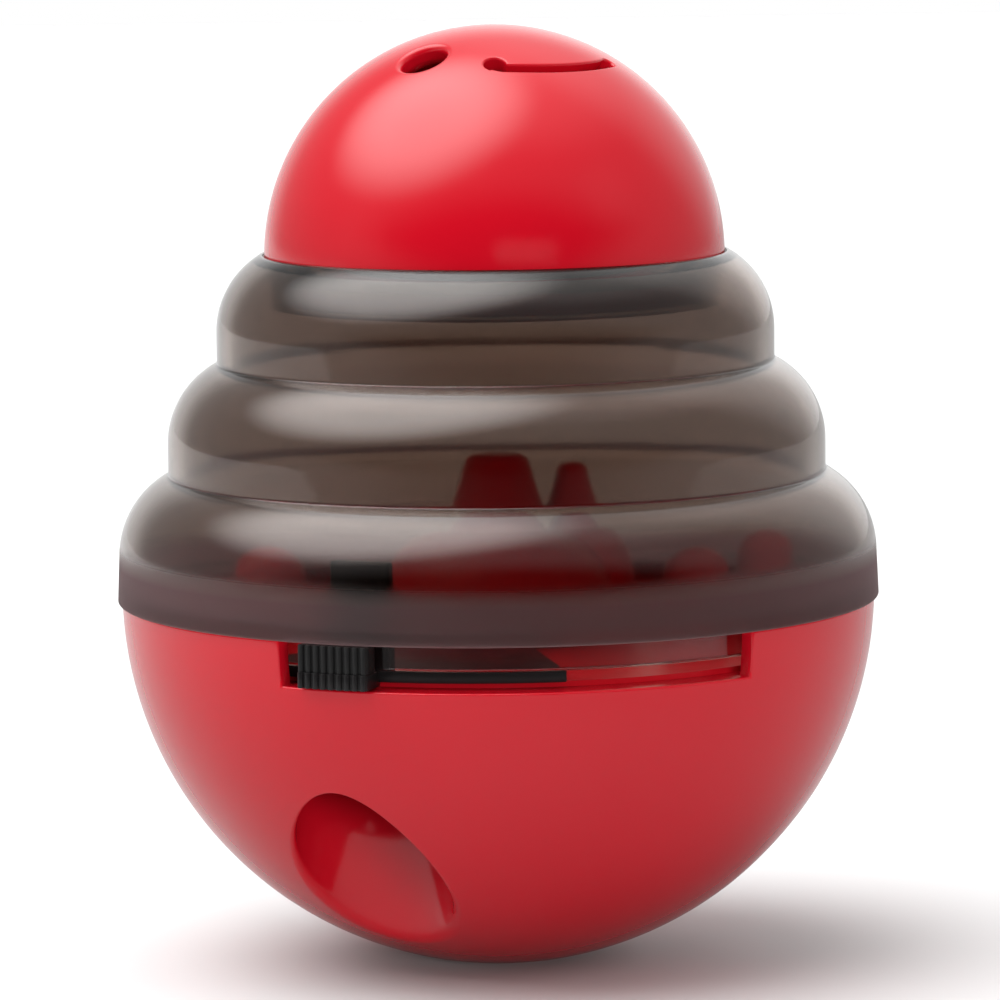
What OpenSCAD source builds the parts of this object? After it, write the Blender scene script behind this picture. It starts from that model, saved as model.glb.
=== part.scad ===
// Treat dispensing ball: a weighted round bowl, a stepped smoke shell and a screw-on dome.
// Treats drop from the shell through an opening that a sliding gate covers, and roll out
// of three wells in the bowl. Angles run round the upright axis from the front (-Y).

/* [Bowl] */
// Outer radius of the round bowl
ball_r = 54.3; // [53:0.1:56]
// Radius of the small flat that the bowl stands on
foot_r = 8; // [6:0.1:9]
// Wall of the bowl
ball_wall = 2.4; // [1.8:0.1:3]
// How far the rim, where the shell sits, lies below the bowl's centre
rim_drop = 1.1; // [0:0.1:2]

/* [Outlet wells] */
// Number of wells round the bowl
well_count = 3; // [2:1:3]
// Angle of the first well
well_start = -31; // [-40:1:-20]
// Radius of a well's bore
well_r = 11; // [8:0.1:11.5]
// How far a well's axis lies inside the bowl's outer radius
well_inset = 16.4; // [15:0.1:18]
// Wall of a well's tube
well_wall = 1.8; // [1.2:0.1:2.2]
// Height of the chamber between the wells' tubes and the deck
chamber_h = 13; // [11:0.1:14]

/* [Slider window] */
// Half of the window's angle
window_half = 37; // [34:0.5:42]
// Height of the window below the rim
window_h = 6.4; // [5.8:0.1:7]

/* [Gate] */
// Thickness of the gate plate
gate_t = 1.5; // [1.2:0.1:2]
// How far the gate plate's edge lies inside the bowl's wall
gate_inset = 1.5; // [1.2:0.1:2.5]
// Angle of the gate's left edge
gate_start = -47.5; // [-49:0.5:-46]
// Angle of the gate's right edge
gate_end = 7.4; // [6:0.2:9]
// Radial width of the ring that turns on the deck's boss
gate_ring_w = 4.6; // [3:0.1:5]
// Angle of the grip's middle with the gate closed
grip_angle = -27.9; // [-29:0.1:-27]
// Angle that the grip spans
grip_span = 11.2; // [9:0.2:12]
// How far the grip's ribs stand out past the bowl
grip_proud = 0.9; // [0.5:0.1:1.7]
// Number of ribs on the grip
rib_count = 9; // [5:1:10]
// Height of the stirring finger over the gate plate
finger_h = 14.2; // [8:0.1:16]
// How far the finger's outer face lies inside the shell's collar
finger_inset = 3.9; // [3.2:0.1:6]
// Thickness of the finger at its foot
finger_t = 2.8; // [2:0.1:4]

/* [Deck] */
// Thickness of the deck plate
deck_t = 2; // [1.6:0.1:2.6]
// How far the deck plate's edge lies inside the bowl's wall
deck_inset = 3.7; // [3.5:0.1:4.3]
// Radius of the boss that the gate turns on
pivot_r = 12; // [9:0.1:12.5]
// Half width of the drop opening
drop_half_w = 9; // [6:0.1:9.5]
// Width of the deck's rim outside the drop opening
drop_rim = 2.2; // [1.5:0.1:4]
// Angle of the centre of the drop opening's left end
drop_start = -31; // [-32:0.5:-24]
// Angle of the centre of the drop opening's right end
drop_stop = -10; // [-18:0.5:-9]
// Height of the tallest hill over the deck
hill_h = 15.2; // [10:0.1:18]

/* [Hub] */
// Height of the hub's top over the deck's boss
hub_h = 24.6; // [20:0.1:28]
// How far the hub's foot reaches past the gate's ring
hub_brim = 0.72; // [0.4:0.02:2]
// Radius of the hub where its peak meets the mound
hub_waist_r = 6.9; // [6:0.1:8]
// Radius of the hub at its top
hub_top_r = 4.7; // [4.4:0.1:6]
// Wall of the hub's mound
hub_wall = 2; // [1.5:0.1:3]
// Height of the lesser peak's top over the deck's boss
peak_h = 22.6; // [18:0.1:26]
// Radius of the lesser peak at its top
peak_top_r = 2.3; // [1.5:0.1:3]

/* [Shell] */
// Wall of the shell
shell_wall = 2; // [1.5:0.1:2.4]
// How far the lowest tier stands out past the bowl
tier_proud = 0.35; // [0:0.05:1]
// Step in radius from tier to tier
tier_step = 7.25; // [6.5:0.05:7.5]
// Rise from tier to tier
tier_rise = 16; // [15:0.1:17]
// Radius of a tier's round shoulder
tier_round = 12.85; // [12.2:0.05:13.4]
// Height of the straight skirt under the lowest shoulder
skirt_h = 6.6; // [5.5:0.1:7.5]
// How much wider the skirt is at its foot
skirt_flare = 0.3; // [0:0.05:0.5]
// How deep the shell's collar reaches into the bowl
collar_h = 3.8; // [3.4:0.1:4.2]
// Thickness of the collar
collar_t = 1.6; // [1.2:0.1:2]
// Width of the neck's mouth outside its bore, under the dome's foot
neck_w = 2.9; // [2.4:0.1:4]
// Depth of the neck
neck_h = 7; // [6:0.1:8]

/* [Dome] */
// Width of the top tier's shoulder round the dome
shoulder_w = 7.05; // [6.5:0.05:8]
// Wall of the dome
dome_wall = 2.8; // [2:0.1:3]
// Depth of the dome's spigot in the neck
spigot_h = 6.4; // [5.8:0.1:6.8]
// Wall of the spigot
spigot_t = 2.5; // [2:0.1:3]
// Radius of the round hole in the dome
dome_hole_r = 3.3; // [2:0.1:4]
// Tilt of the round hole from the upright axis
dome_hole_tilt = 28.6; // [26:0.2:32]
// Angle of the round hole
dome_hole_angle = -41.2; // [-50:0.2:-30]
// Tilt of the curved slot from the upright axis
slot_tilt = 33; // [31:0.2:35]
// Width of the curved slot
slot_w = 1.6; // [1:0.1:2]
// Angle of the curved slot's left end
slot_start = -2; // [-10:1:10]
// Angle of the curved slot's right end
slot_stop = 64; // [50:1:80]

/* [Counterweight] */
// Radius of the counterweight
weight_r = 24; // [18:0.1:24.4]
// Height of the counterweight
weight_h = 13.4; // [9:0.1:15]

/* [Hidden] */
$fn = 96;

// Overrun of every cut
over = 1;
// Gap between faces that slide on each other
slide_gap = 0.2;
// Gap between loose round faces
loose_gap = 0.3;
// Gap of a turning fit
turn_gap = 0.08;
// Gap between a screw's shank and the hole it is driven into
screw_gap = 0.05;

ball_h = sqrt(pow(ball_r, 2) - pow(foot_r, 2));
rim_h = ball_h - rim_drop;
inner_r = ball_r - ball_wall;
// Tubes, bosses and the ledge inside the bowl end in the middle of its wall
root_r = ball_r - ball_wall / 2;

// Heights of the sliding stack, worked down from the rim
collar_z = rim_h - collar_h;
gate_top = collar_z - slide_gap;
gate_z = gate_top - gate_t;
deck_top = gate_z - slide_gap;
deck_z = deck_top - deck_t;
sill_z = rim_h - window_h;

// Round sizes, worked inwards from the bowl
grip_r = ball_r + grip_proud;
tier_r = ball_r + tier_proud;
gate_r = inner_r - gate_inset;
deck_r = inner_r - deck_inset;
well_place = ball_r - well_inset;
tube_h = deck_z - chamber_h;

// Ledge inside the bowl that carries the deck
ledge_w = 2.4;
ledge_t = 2.2;
ledge_taper = 4.2;
ledge_gap = loose_gap;
ledge_out_r = deck_r + ledge_gap;
ledge_in_r = deck_r - ledge_w;

// Screws: head radius, head height, shank radius
small_head_r = 2.6;
small_head_h = 1.5;
small_shank_r = 1.1;
large_head_r = 3.6;
large_head_h = 2.4;
large_shank_r = 1.7;
shank_pass = 0.4;
head_top_share = 0.8;
recess_share = 0.6;
recess_w = 0.8;
boss_wall = 1.9;
boss_r = small_shank_r + boss_wall;
pilot_depth = 7;

// Deck screws stand behind the gate's sweep
deck_screw_angles = [112, 180, 248];
deck_screw_place = deck_r - boss_r;
deck_boss_h = 9.2;
// Dish screws stand midway between the wells
dish_screw_inset = 15.9;
dish_screw_place = inner_r - dish_screw_inset;

// Counterweight seat
seat_h = 1.8;
seat_z = ball_h - inner_r + seat_h;
seat_r = 9;
weight_top = seat_z + weight_h;
weight_boss_r = 4.4;
weight_boss_h = 6.4;
weight_boss_top = seat_z + weight_boss_h;
weight_gap = loose_gap;

// Chute dish: it passes the ledge, and notches in its rim pass the deck's bosses
dish_t = 1.8;
dish_rise = 4.4;
dish_flat_r = 24;
dish_r = ledge_in_r - loose_gap;

// Drop opening: the radius of its middle line, and the steps in each arc
drop_place = deck_r - drop_rim - drop_half_w;
arc_steps = 16;

// Gate
grip_gap = slide_gap;
pad_foot_r = 0.8;
pad_foot_h = 1.2;
rib_r = 0.45;
pad_foot_gap = screw_gap;
pad_front_r = grip_r - rib_r - slide_gap;
lip_front_r = grip_r - rib_r;
finger_draft = 0.4;
gate_ring_r = pivot_r + turn_gap + gate_ring_w;
hub_r = gate_ring_r + hub_brim;

// Angles of the hills behind the gate's sweep, and as shares of the deck's radius their
// distance, foot radius and top radius, with their height as a share of the tallest
hill_angles = [-93.1, 83, 93.4];
hill_place_share = [0.685, 0.593, 0.813];
hill_foot_share = [0.131, 0.12, 0.102];
hill_top_share = [0.108, 0.1, 0.083];
hill_h_share = [0.914, 0.882, 1];

// Hub: height of the mound under each peak, and the lesser peak's place
mound_share = 0.64;
peak_mound_share = 0.7;
peak_place = 11.6;
peak_angle = 107;
peak_waist_r = 3.8;
peak_foot_r = 9.4;
hub_boss_wall = 1.7;
crown_round = 1.2;
mound_step = 9;

// Shell: the lip round the dome's foot lies on the top tier's shoulder, trimmed flat
tiers = 3;
dome_r = tier_r - (tiers - 1) * tier_step - shoulder_w;
neck_r = dome_r - neck_w;
dome_gap = loose_gap;
lip_trim = 0.2;
lip_rise = 0.5;
top_mid_r = tier_r - (tiers - 1) * tier_step - tier_round;
top_mid_z = rim_h + skirt_h + (tiers - 1) * tier_rise;
lip_r = dome_r + dome_gap;
lip_z = top_mid_z + sqrt(pow(tier_round, 2) - pow(lip_r - top_mid_r, 2)) - lip_trim;
shoulder_z = lip_z - lip_rise;
web_h = 1.6;
collar_gap = 0.6;
collar_r = inner_r - collar_gap;
finger_r = collar_r - collar_t - finger_inset;
pad_back_r = collar_r + loose_gap;
flange_h = 2.5;
flange_in = 0.6;

// Dome
spigot_r = neck_r - loose_gap;
seal_r = 0.8;
seal_gap = 0.07;
seal_mid = 2.6;
seal_turn_r = neck_r - seal_gap - seal_r;
groove_h = 2 * seal_r + 2 * seal_gap;
bulb_r = 1.5;
bulb_tilt = 31.4;
tail_r = 0.9;
mouth_chamfer = 0.5;

module at(angle, distance) rotate([0, 0, angle]) translate([0, -distance, 0]) children();

module sector(start, stop) rotate([0, 0, start - 90]) rotate_extrude(angle = stop - start) children();

module ball(r) translate([0, 0, ball_h]) sphere(r = r, $fn = 180);

module well_places() for (i = [0 : well_count - 1])
    at(well_start + i * 360 / well_count, well_place) children();

module between_wells() for (i = [0 : well_count - 1])
    at(well_start + (i + 0.5) * 360 / well_count, dish_screw_place) children();

// A pan-head screw, its head's seat at height zero and its shank below it
module screw(head_r, head_h, shank_r, length) {
    difference() {
        cylinder(r1 = head_r, r2 = head_r * head_top_share, h = head_h);
        for (a = [0, 90]) rotate([0, 0, a])
            translate([-head_r * recess_share, -recess_w / 2, head_h * (1 - recess_share)])
                cube([2 * head_r * recess_share, recess_w, head_h]);
    }
    translate([0, 0, -length]) cylinder(r = shank_r, h = length);
}

module bowl_skin() difference() {
    ball(ball_r);
    ball(inner_r);
    translate([0, 0, rim_h]) cylinder(r = ball_r + over, h = 2 * ball_r);
    translate([0, 0, -ball_r]) cylinder(r = ball_r, h = ball_r);
}

module deck_ledge() rotate_extrude() polygon([
    [ledge_in_r, deck_z],
    [ledge_out_r, deck_z],
    [ledge_out_r, sill_z],
    [root_r, sill_z],
    [root_r, deck_z - ledge_t - ledge_taper],
    [ledge_in_r + ledge_taper, deck_z - ledge_t - ledge_taper],
    [ledge_in_r, deck_z - ledge_t]
]);

module bowl_inside() intersection() {
    ball(root_r);
    translate([0, 0, ball_wall / 2]) union() {
        cylinder(r = weight_boss_r, h = weight_boss_top - ball_wall / 2);
        cylinder(r = seat_r, h = seat_z - ball_wall / 2);
    }
}

module bowl_columns() intersection() {
    ball(root_r);
    union() {
        deck_ledge();
        well_places() cylinder(r = well_r + well_wall, h = tube_h);
        between_wells() cylinder(r = boss_r, h = tube_h);
        for (a = deck_screw_angles) at(a, deck_screw_place)
            translate([0, 0, deck_z - deck_boss_h]) cylinder(r = boss_r, h = deck_boss_h);
    }
}

module window_cut() sector(-window_half, window_half)
    translate([ledge_out_r, sill_z]) square([ball_r, window_h + over]);

module bowl() color("firebrick") difference() {
    union() {
        bowl_skin();
        bowl_columns();
        bowl_inside();
    }
    window_cut();
    well_places() translate([0, 0, -over]) cylinder(r = well_r, h = tube_h + 2 * over);
    between_wells() translate([0, 0, tube_h - pilot_depth])
        cylinder(r = small_shank_r + screw_gap, h = pilot_depth + over);
    for (a = deck_screw_angles) at(a, deck_screw_place) translate([0, 0, deck_z - pilot_depth])
        cylinder(r = small_shank_r + screw_gap, h = pilot_depth + over);
    translate([0, 0, seat_z]) cylinder(r = large_shank_r + screw_gap, h = weight_boss_top);
}

module counterweight() color("slategray") difference() {
    intersection() {
        ball(inner_r - weight_gap);
        translate([0, 0, seat_z]) cylinder(r = weight_r, h = weight_top - seat_z);
    }
    cylinder(r = weight_boss_r + weight_gap, h = weight_boss_top + weight_gap);
    cylinder(r = large_shank_r + shank_pass, h = weight_top + over);
}

module weight_screw() color("silver") translate([0, 0, weight_top])
    screw(large_head_r, large_head_h, large_shank_r, weight_top - seat_z - loose_gap);

module dish_plate() rotate_extrude() polygon([
    [0, tube_h + dish_rise],
    [dish_flat_r, tube_h],
    [dish_r, tube_h],
    [dish_r, tube_h + dish_t],
    [dish_flat_r, tube_h + dish_t],
    [0, tube_h + dish_rise + dish_t]
]);

module chute_dish() color("brown") difference() {
    dish_plate();
    well_places() cylinder(r = well_r, h = rim_h);
    for (a = deck_screw_angles) at(a, deck_screw_place) cylinder(r = boss_r + loose_gap, h = rim_h);
    between_wells() cylinder(r = small_shank_r + shank_pass, h = rim_h);
}

module dish_screws() color("silver") between_wells() translate([0, 0, tube_h + dish_t])
    screw(small_head_r, small_head_h, small_shank_r, pilot_depth);

// Points on an arc round a middle, its angles counted from the front like those of the pieces
function arc(mid, r, start, stop) = [for (i = [0 : arc_steps])
    let (a = start + (stop - start) * i / arc_steps) mid + r * [sin(a), -cos(a)]];

// The curved drop opening: arcs round the axis, joined by half circles
module drop_opening() translate([0, 0, deck_z - over]) linear_extrude(deck_t + 2 * over)
    polygon(concat(
        arc([0, 0], drop_place + drop_half_w, drop_start, drop_stop),
        arc(drop_place * [sin(drop_stop), -cos(drop_stop)], drop_half_w, drop_stop, drop_stop + 180),
        arc([0, 0], drop_place - drop_half_w, drop_stop, drop_start),
        arc(drop_place * [sin(drop_start), -cos(drop_start)], drop_half_w, drop_start + 180,
            drop_start + 360)));

module hill(foot_r, top_r, h) rotate_extrude() {
    polygon([[0, 0], [foot_r, 0], [top_r, h - top_r], [0, h - top_r]]);
    translate([0, h - top_r]) intersection() {
        circle(r = top_r);
        square(top_r);
    }
}

module deck() color("crimson") difference() {
    union() {
        translate([0, 0, deck_z]) cylinder(r = deck_r, h = deck_t, $fn = 180);
        translate([0, 0, deck_z]) cylinder(r = pivot_r, h = collar_z - deck_z);
        for (i = [0 : len(hill_angles) - 1]) at(hill_angles[i], deck_r * hill_place_share[i])
            translate([0, 0, deck_z + deck_t / 2])
                hill(deck_r * hill_foot_share[i], deck_r * hill_top_share[i],
                    hill_h * hill_h_share[i] + deck_t / 2);
    }
    drop_opening();
    for (a = deck_screw_angles) at(a, deck_screw_place)
        translate([0, 0, deck_z - over]) cylinder(r = small_shank_r + shank_pass, h = deck_t + 2 * over);
    translate([0, 0, deck_z - over]) cylinder(r = large_shank_r + shank_pass, h = rim_h);
}

module deck_screws() color("silver") for (a = deck_screw_angles) at(a, deck_screw_place)
    translate([0, 0, deck_top]) screw(small_head_r, small_head_h, small_shank_r, pilot_depth);

// Half outline of a round mound that rises from its foot to the waist of a peak
function mound(waist_r, foot_r, h) = [for (a = [0 : mound_step : 90])
    [waist_r + (foot_r - waist_r) * cos(a), h * sin(a)]];

// Half outline of a peak's round crown
function crown(top_r, h) = [for (a = [0 : mound_step : 90])
    [top_r - crown_round + crown_round * cos(a), h - crown_round + crown_round * sin(a)]];

module peak(top_r, waist_r, foot_r, h, mound_h) rotate_extrude() polygon(concat(
    [[0, 0]], mound(waist_r, foot_r, mound_h), crown(top_r, h), [[0, h]]));

// The hollow under the mound, round the boss that takes the screw
module hub_hollow() rotate_extrude() polygon(concat(
    [[large_shank_r + hub_boss_wall, -over], [hub_r - hub_wall, -over]],
    mound(hub_waist_r - hub_wall, hub_r - hub_wall, hub_h * mound_share - hub_wall),
    [[large_shank_r + hub_boss_wall, hub_h * mound_share - hub_wall]]));

module hub() color("crimson") translate([0, 0, collar_z]) difference() {
    union() {
        peak(hub_top_r, hub_waist_r, hub_r, hub_h, hub_h * mound_share);
        at(peak_angle, peak_place)
            peak(peak_top_r, peak_waist_r, peak_foot_r, peak_h, peak_h * peak_mound_share);
    }
    hub_hollow();
    translate([0, 0, -over]) cylinder(r = large_shank_r + screw_gap, h = pilot_depth + over);
}

module hub_screw() color("silver") translate([0, 0, deck_z]) mirror([0, 0, 1])
    screw(large_head_r, large_head_h, large_shank_r, collar_z - deck_z + pilot_depth - loose_gap);

// A row of upright ribs round the front of the grip
module grip_ribs(front_r, z, h) for (i = [0 : rib_count - 1])
    at(grip_angle + grip_span * ((i + 0.5) / rib_count - 0.5), front_r)
        translate([0, 0, z]) cylinder(r = rib_r, h = h, $fn = 24);

module grip_sector() sector(grip_angle - grip_span / 2, grip_angle + grip_span / 2) children();

module pad_feet(gap) for (s = [-1, 1]) at(grip_angle + s * grip_span / 4, (pad_back_r + pad_front_r) / 2)
    translate([0, 0, gate_top - pad_foot_h - gap]) cylinder(r = pad_foot_r + gap, h = pad_foot_h + over);

module gate_plate() color("dimgray") difference() {
    union() {
        translate([0, 0, gate_z]) cylinder(r = gate_ring_r, h = gate_t);
        sector(gate_start, gate_end) translate([pivot_r, gate_z]) square([gate_r - pivot_r, gate_t]);
        grip_sector() translate([gate_r - gate_t, gate_z]) square([lip_front_r - gate_r + gate_t, gate_t]);
        grip_sector() translate([ledge_out_r + over, sill_z + grip_gap])
            square([lip_front_r - ledge_out_r - over, gate_top - sill_z - grip_gap]);
        grip_ribs(lip_front_r, sill_z + grip_gap, gate_top - sill_z - grip_gap);
        grip_sector() polygon([
            [finger_r - finger_t, gate_top - gate_t / 2],
            [finger_r, gate_top - gate_t / 2],
            [finger_r - finger_draft, gate_top + finger_h],
            [finger_r - finger_t + finger_draft, gate_top + finger_h]
        ]);
    }
    translate([0, 0, gate_z - over]) cylinder(r = pivot_r + turn_gap, h = gate_t + 2 * over);
    pad_feet(pad_foot_gap);
}

module thumb_pad() color("dimgray") {
    grip_sector() translate([pad_back_r, gate_top])
        square([pad_front_r - pad_back_r, rim_h - grip_gap - gate_top]);
    grip_ribs(pad_front_r, gate_top, rim_h - grip_gap - gate_top);
    pad_feet(0);
}

// Half outline of the stacked tiers, drawn in by an inset for the inside
module tier_stack(inset) for (i = [0 : tiers - 1])
    translate([tier_r - i * tier_step - tier_round, rim_h + skirt_h + i * tier_rise]) {
        intersection() {
            circle(r = tier_round - inset);
            square(tier_round);
        }
        translate([-tier_r, 0]) square([tier_r, tier_round - inset]);
        translate([-tier_r, -skirt_h]) square([tier_r + tier_round - inset, skirt_h]);
    }

module skirt_outline() polygon([
    [tier_r - shell_wall, rim_h],
    [tier_r + skirt_flare, rim_h],
    [tier_r, rim_h + skirt_h],
    [tier_r - shell_wall, rim_h + skirt_h]
]);

module shell_outline() difference() {
    union() {
        difference() {
            union() {
                tier_stack(0);
                skirt_outline();
            }
            difference() {
                tier_stack(shell_wall);
                translate([0, rim_h - over]) square([ball_r, web_h + over]);
            }
        }
        translate([neck_r, shoulder_z - flange_h]) square([dome_r - neck_r + flange_in, flange_h]);
        translate([neck_r, shoulder_z - neck_h]) square([shell_wall, neck_h]);
        translate([collar_r - collar_t, collar_z]) square([collar_t, collar_h + web_h]);
    }
    translate([0, collar_z - over]) square([collar_r - collar_t, collar_h + web_h + 2 * over]);
    translate([0, shoulder_z - neck_h - over]) square([neck_r, tier_rise]);
    translate([0, shoulder_z]) square([lip_r, tier_rise]);
    translate([0, lip_z]) square([ball_r, tier_rise]);
}

module shell() color("dimgray") rotate_extrude($fn = 180) intersection() {
    shell_outline();
    square([ball_r + over, shoulder_z + over]);
}

module dome_seal() color("black") translate([0, 0, shoulder_z - seal_mid]) rotate_extrude()
    translate([seal_turn_r, 0]) circle(r = seal_r, $fn = 32);

module dome_outline() difference() {
    union() {
        intersection() {
            difference() {
                translate([0, shoulder_z]) circle(r = dome_r);
                translate([0, shoulder_z]) circle(r = dome_r - dome_wall);
            }
            translate([0, shoulder_z]) square([dome_r, dome_r]);
        }
        translate([spigot_r - spigot_t, shoulder_z])
            square([dome_r - dome_wall / 2 - spigot_r + spigot_t, dome_wall / 2]);
        translate([spigot_r - spigot_t, shoulder_z - spigot_h]) square([spigot_t, spigot_h + dome_wall]);
    }
    translate([seal_turn_r - seal_r - seal_gap, shoulder_z - seal_mid - groove_h / 2])
        square([spigot_t, groove_h]);
}

// A bore through the dome's skin, pointing out from its centre, with a chamfered mouth
module dome_bore(angle, tilt, r)
    translate([0, 0, shoulder_z]) rotate([0, 0, angle]) rotate([tilt, 0, 0]) {
        translate([0, 0, dome_r - dome_wall - over]) cylinder(r = r, h = dome_wall + 2 * over);
        translate([0, 0, sqrt(pow(dome_r, 2) - pow(r, 2)) - mouth_chamfer])
            cylinder(r1 = r, r2 = r + 2 * mouth_chamfer, h = 2 * mouth_chamfer);
    }

module dome_slot() translate([0, 0, shoulder_z]) sector(slot_start, slot_stop)
    rotate([0, 0, -slot_tilt]) translate([-slot_w / 2, dome_r - dome_wall - over])
        square([slot_w, dome_wall + 2 * over]);

module dome() color("firebrick") difference() {
    rotate_extrude($fn = 180) dome_outline();
    dome_bore(dome_hole_angle, dome_hole_tilt, dome_hole_r);
    dome_bore(slot_start, bulb_tilt, bulb_r);
    dome_bore(slot_stop, slot_tilt, tail_r);
    dome_slot();
}

bowl();
counterweight();
weight_screw();
chute_dish();
dish_screws();
deck();
deck_screws();
hub();
hub_screw();
gate_plate();
thumb_pad();
shell();
dome_seal();
dome();
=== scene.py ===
import math

import bmesh
import bpy
from bpy.props import FloatProperty, FloatVectorProperty, IntProperty, PointerProperty
from bpy.types import Operator, Panel, PropertyGroup
from mathutils import Matrix, Vector


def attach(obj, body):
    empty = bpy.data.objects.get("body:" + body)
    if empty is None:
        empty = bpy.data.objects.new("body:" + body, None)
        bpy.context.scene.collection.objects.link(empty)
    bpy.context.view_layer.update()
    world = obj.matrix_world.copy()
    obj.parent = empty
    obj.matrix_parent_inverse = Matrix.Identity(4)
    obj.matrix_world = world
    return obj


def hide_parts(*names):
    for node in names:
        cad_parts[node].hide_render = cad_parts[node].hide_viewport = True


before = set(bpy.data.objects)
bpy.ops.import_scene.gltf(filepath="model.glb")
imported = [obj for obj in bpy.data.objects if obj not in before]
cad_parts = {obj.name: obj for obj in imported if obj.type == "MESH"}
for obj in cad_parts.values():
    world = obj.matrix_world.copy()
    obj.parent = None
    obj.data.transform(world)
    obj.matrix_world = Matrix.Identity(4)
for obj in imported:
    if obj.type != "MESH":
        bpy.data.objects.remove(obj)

bl_info = {
    "name": "Treat Dispensing Ball",
    "version": (1, 0, 0),
    "blender": (4, 5, 0),
    "location": "3D View > Sidebar > Treat Ball",
    "description": "Builds the visible pieces of a treat dispensing ball and the studio round it",
    "category": "Object",
}

# Points closer than this are one point
WELD = 1e-6
# Steps per degree outside the bowl, then steps inside it below the ledge and beside the window
OUTSIDE_STEPS = 1.05
INSIDE_STEPS = 62
WINDOW_STEPS = 7
# The slope under the bowl's ledge is drawn out by this much at a time
SLOPE_STEP = 0.00002
# Steps over a tier's round shoulder
TIER_STEPS = 28
# How much of the slot's length its left and its right end take
BULB_SHARE = 0.045
TAIL_SHARE = 0.04
# Places of the pad's pegs, as shares of the grip's span from its middle
PEG_SHARES = (-0.25, 0.25)
# Angles of the deck's screws from the front, in degrees
DECK_SCREWS = (112, 180, 248)
# Each hill's angle in degrees, its distance and its radii at foot and top as shares of the deck's
# radius, and its height as a share of the tallest hill's
HILLS = ((-93.1, 0.685, 0.131, 0.108, 0.914), (83, 0.593, 0.12, 0.1, 0.882), (93.4, 0.813, 0.102, 0.083, 1))
# Each inner fitting's CAD node, its piece, its body, its slot and the rounding of its edges
FITTINGS = (
    ("chute_dish", "funnel_dish", "base", "red_plastic", 0.0002),
    ("counterweight", "steel_counterweight", "base", "weight_steel", 0.0004),
    ("weight_screw", "weight_bolt", "base", "screw_steel", 0.0001),
    ("dish_screws", "dish_bolts", "base", "screw_steel", 0.0001),
    ("deck_screws", "deck_bolts", "base", "screw_steel", 0.0001),
    ("hub_screw", "hub_bolt", "base", "screw_steel", 0.0001),
    ("dome_seal", "seal_ring", "cap_seal", "seal_rubber", 0),
)
# Faces that meet at a smaller angle than this are joined before a fitting's edges are rounded
FLAT = math.radians(0.5)
# Depth of the fine grain on plastic and steel
GRAIN_DEPTH = 0.00002
# Each lamp's name, place, size and watts
LAMPS = (
    ("left_lamp", (-2.5, -0.7, 0.6), (1.2, 0.8), 9),
    ("fill_lamp", (2.4, -1.2, 1.6), (1.2, 1.2), 9),
    ("front_lamp", (0.6, -2.6, 0.35), (1.4, 0.5), 39),
)
# Each soft box round the ball: the way to it, how closely one looks that way where its light
# starts and where it is full, and its strength
SOFT_BOXES = (
    ((0, 0.99, -0.1), 0.7, 0.97, 0.5),
    ((-0.42, -0.04, 0.91), 0.72, 0.985, 4.7),
    ((0.1, 0.1, 0.99), 0.7, 1.0, 0.6),
    ((0.4, 0.72, 0.56), 0.7, 0.98, 0.6),
)


# Settings

def length(name, default, description):
    return FloatProperty(name=name, description=description, default=default, min=0.0,
                         unit="LENGTH", subtype="DISTANCE", precision=5)


def angle(name, degrees, description):
    return FloatProperty(name=name, description=description, default=math.radians(degrees),
                         unit="ROTATION", subtype="ANGLE")


def share(name, default, description):
    return FloatProperty(name=name, description=description, default=default, min=0.0, max=1.0,
                         subtype="FACTOR")


def colour(name, default, description):
    return FloatVectorProperty(name=name, description=description, default=default, size=3,
                               min=0.0, max=1.0, subtype="COLOR")


class BowlSettings(PropertyGroup):
    outer_r: length("Outer radius", 0.0543, "Outer radius of the round bowl")
    middle_z: length("Middle height", 0.0537074, "Height of the middle of the round bowl")
    foot_r: length("Foot radius", 0.008, "Radius of the small flat it stands on")
    foot_row: length("Foot row", 0.001, "Width of the row of faces along the flat's edge")
    inner_r: length("Inner radius", 0.0519, "Inner radius of the round bowl")
    rim_z: length("Rim height", 0.052607, "Height of the rim that the shell sits on")
    sill_z: length("Sill height", 0.046207, "Height of the window's sill")
    sill_row: length("Sill row", 0.0009, "Width of the row of faces along the sill's outer edge")
    window_half: angle("Half window", 37, "Half of the angle that the window spans")
    shelf_r: length("Shelf radius", 0.0485, "Inner radius of the sill, outside the deck")
    ledge_r: length("Ledge radius", 0.0458, "Inner radius of the ledge under the deck")
    ledge_top: length("Ledge top", 0.044907, "Height of the ledge that carries the deck")
    ledge_t: length("Ledge thickness", 0.0022, "Thickness of the ledge")
    ledge_taper: length("Ledge taper", 0.0042, "Size of the slope under the ledge")
    seat_r: length("Seat radius", 0.009, "Radius of the counterweight's seat")
    seat_z: length("Seat height", 0.003607, "Height of the counterweight's seat")
    boss_r: length("Boss radius", 0.0044, "Radius of the boss in the counterweight")
    boss_z: length("Boss top", 0.010007, "Height of the top of that boss")
    pilot_r: length("Pilot radius", 0.00175, "Radius of the hole for the counterweight's screw")
    edge_r: length("Edge rounding", 0.00032, "Rounding of the rim and of the window's edges")
    dish_post: length("Dish boss distance", 0.036, "Distance of the dish's screw bosses from the axis")
    deck_post: length("Deck boss distance", 0.0452, "Distance of the deck's screw bosses from the axis")
    post_r: length("Boss radius", 0.003, "Radius of the screw bosses")
    post_h: length("Boss height", 0.0092, "Height of the deck's screw bosses")
    post_gap: length("Boss gap", 0.00002, "How far the deck's bosses stay below the ledge")
    steps: IntProperty(name="Steps", description="Steps round the bowl", default=360, min=60)


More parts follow.
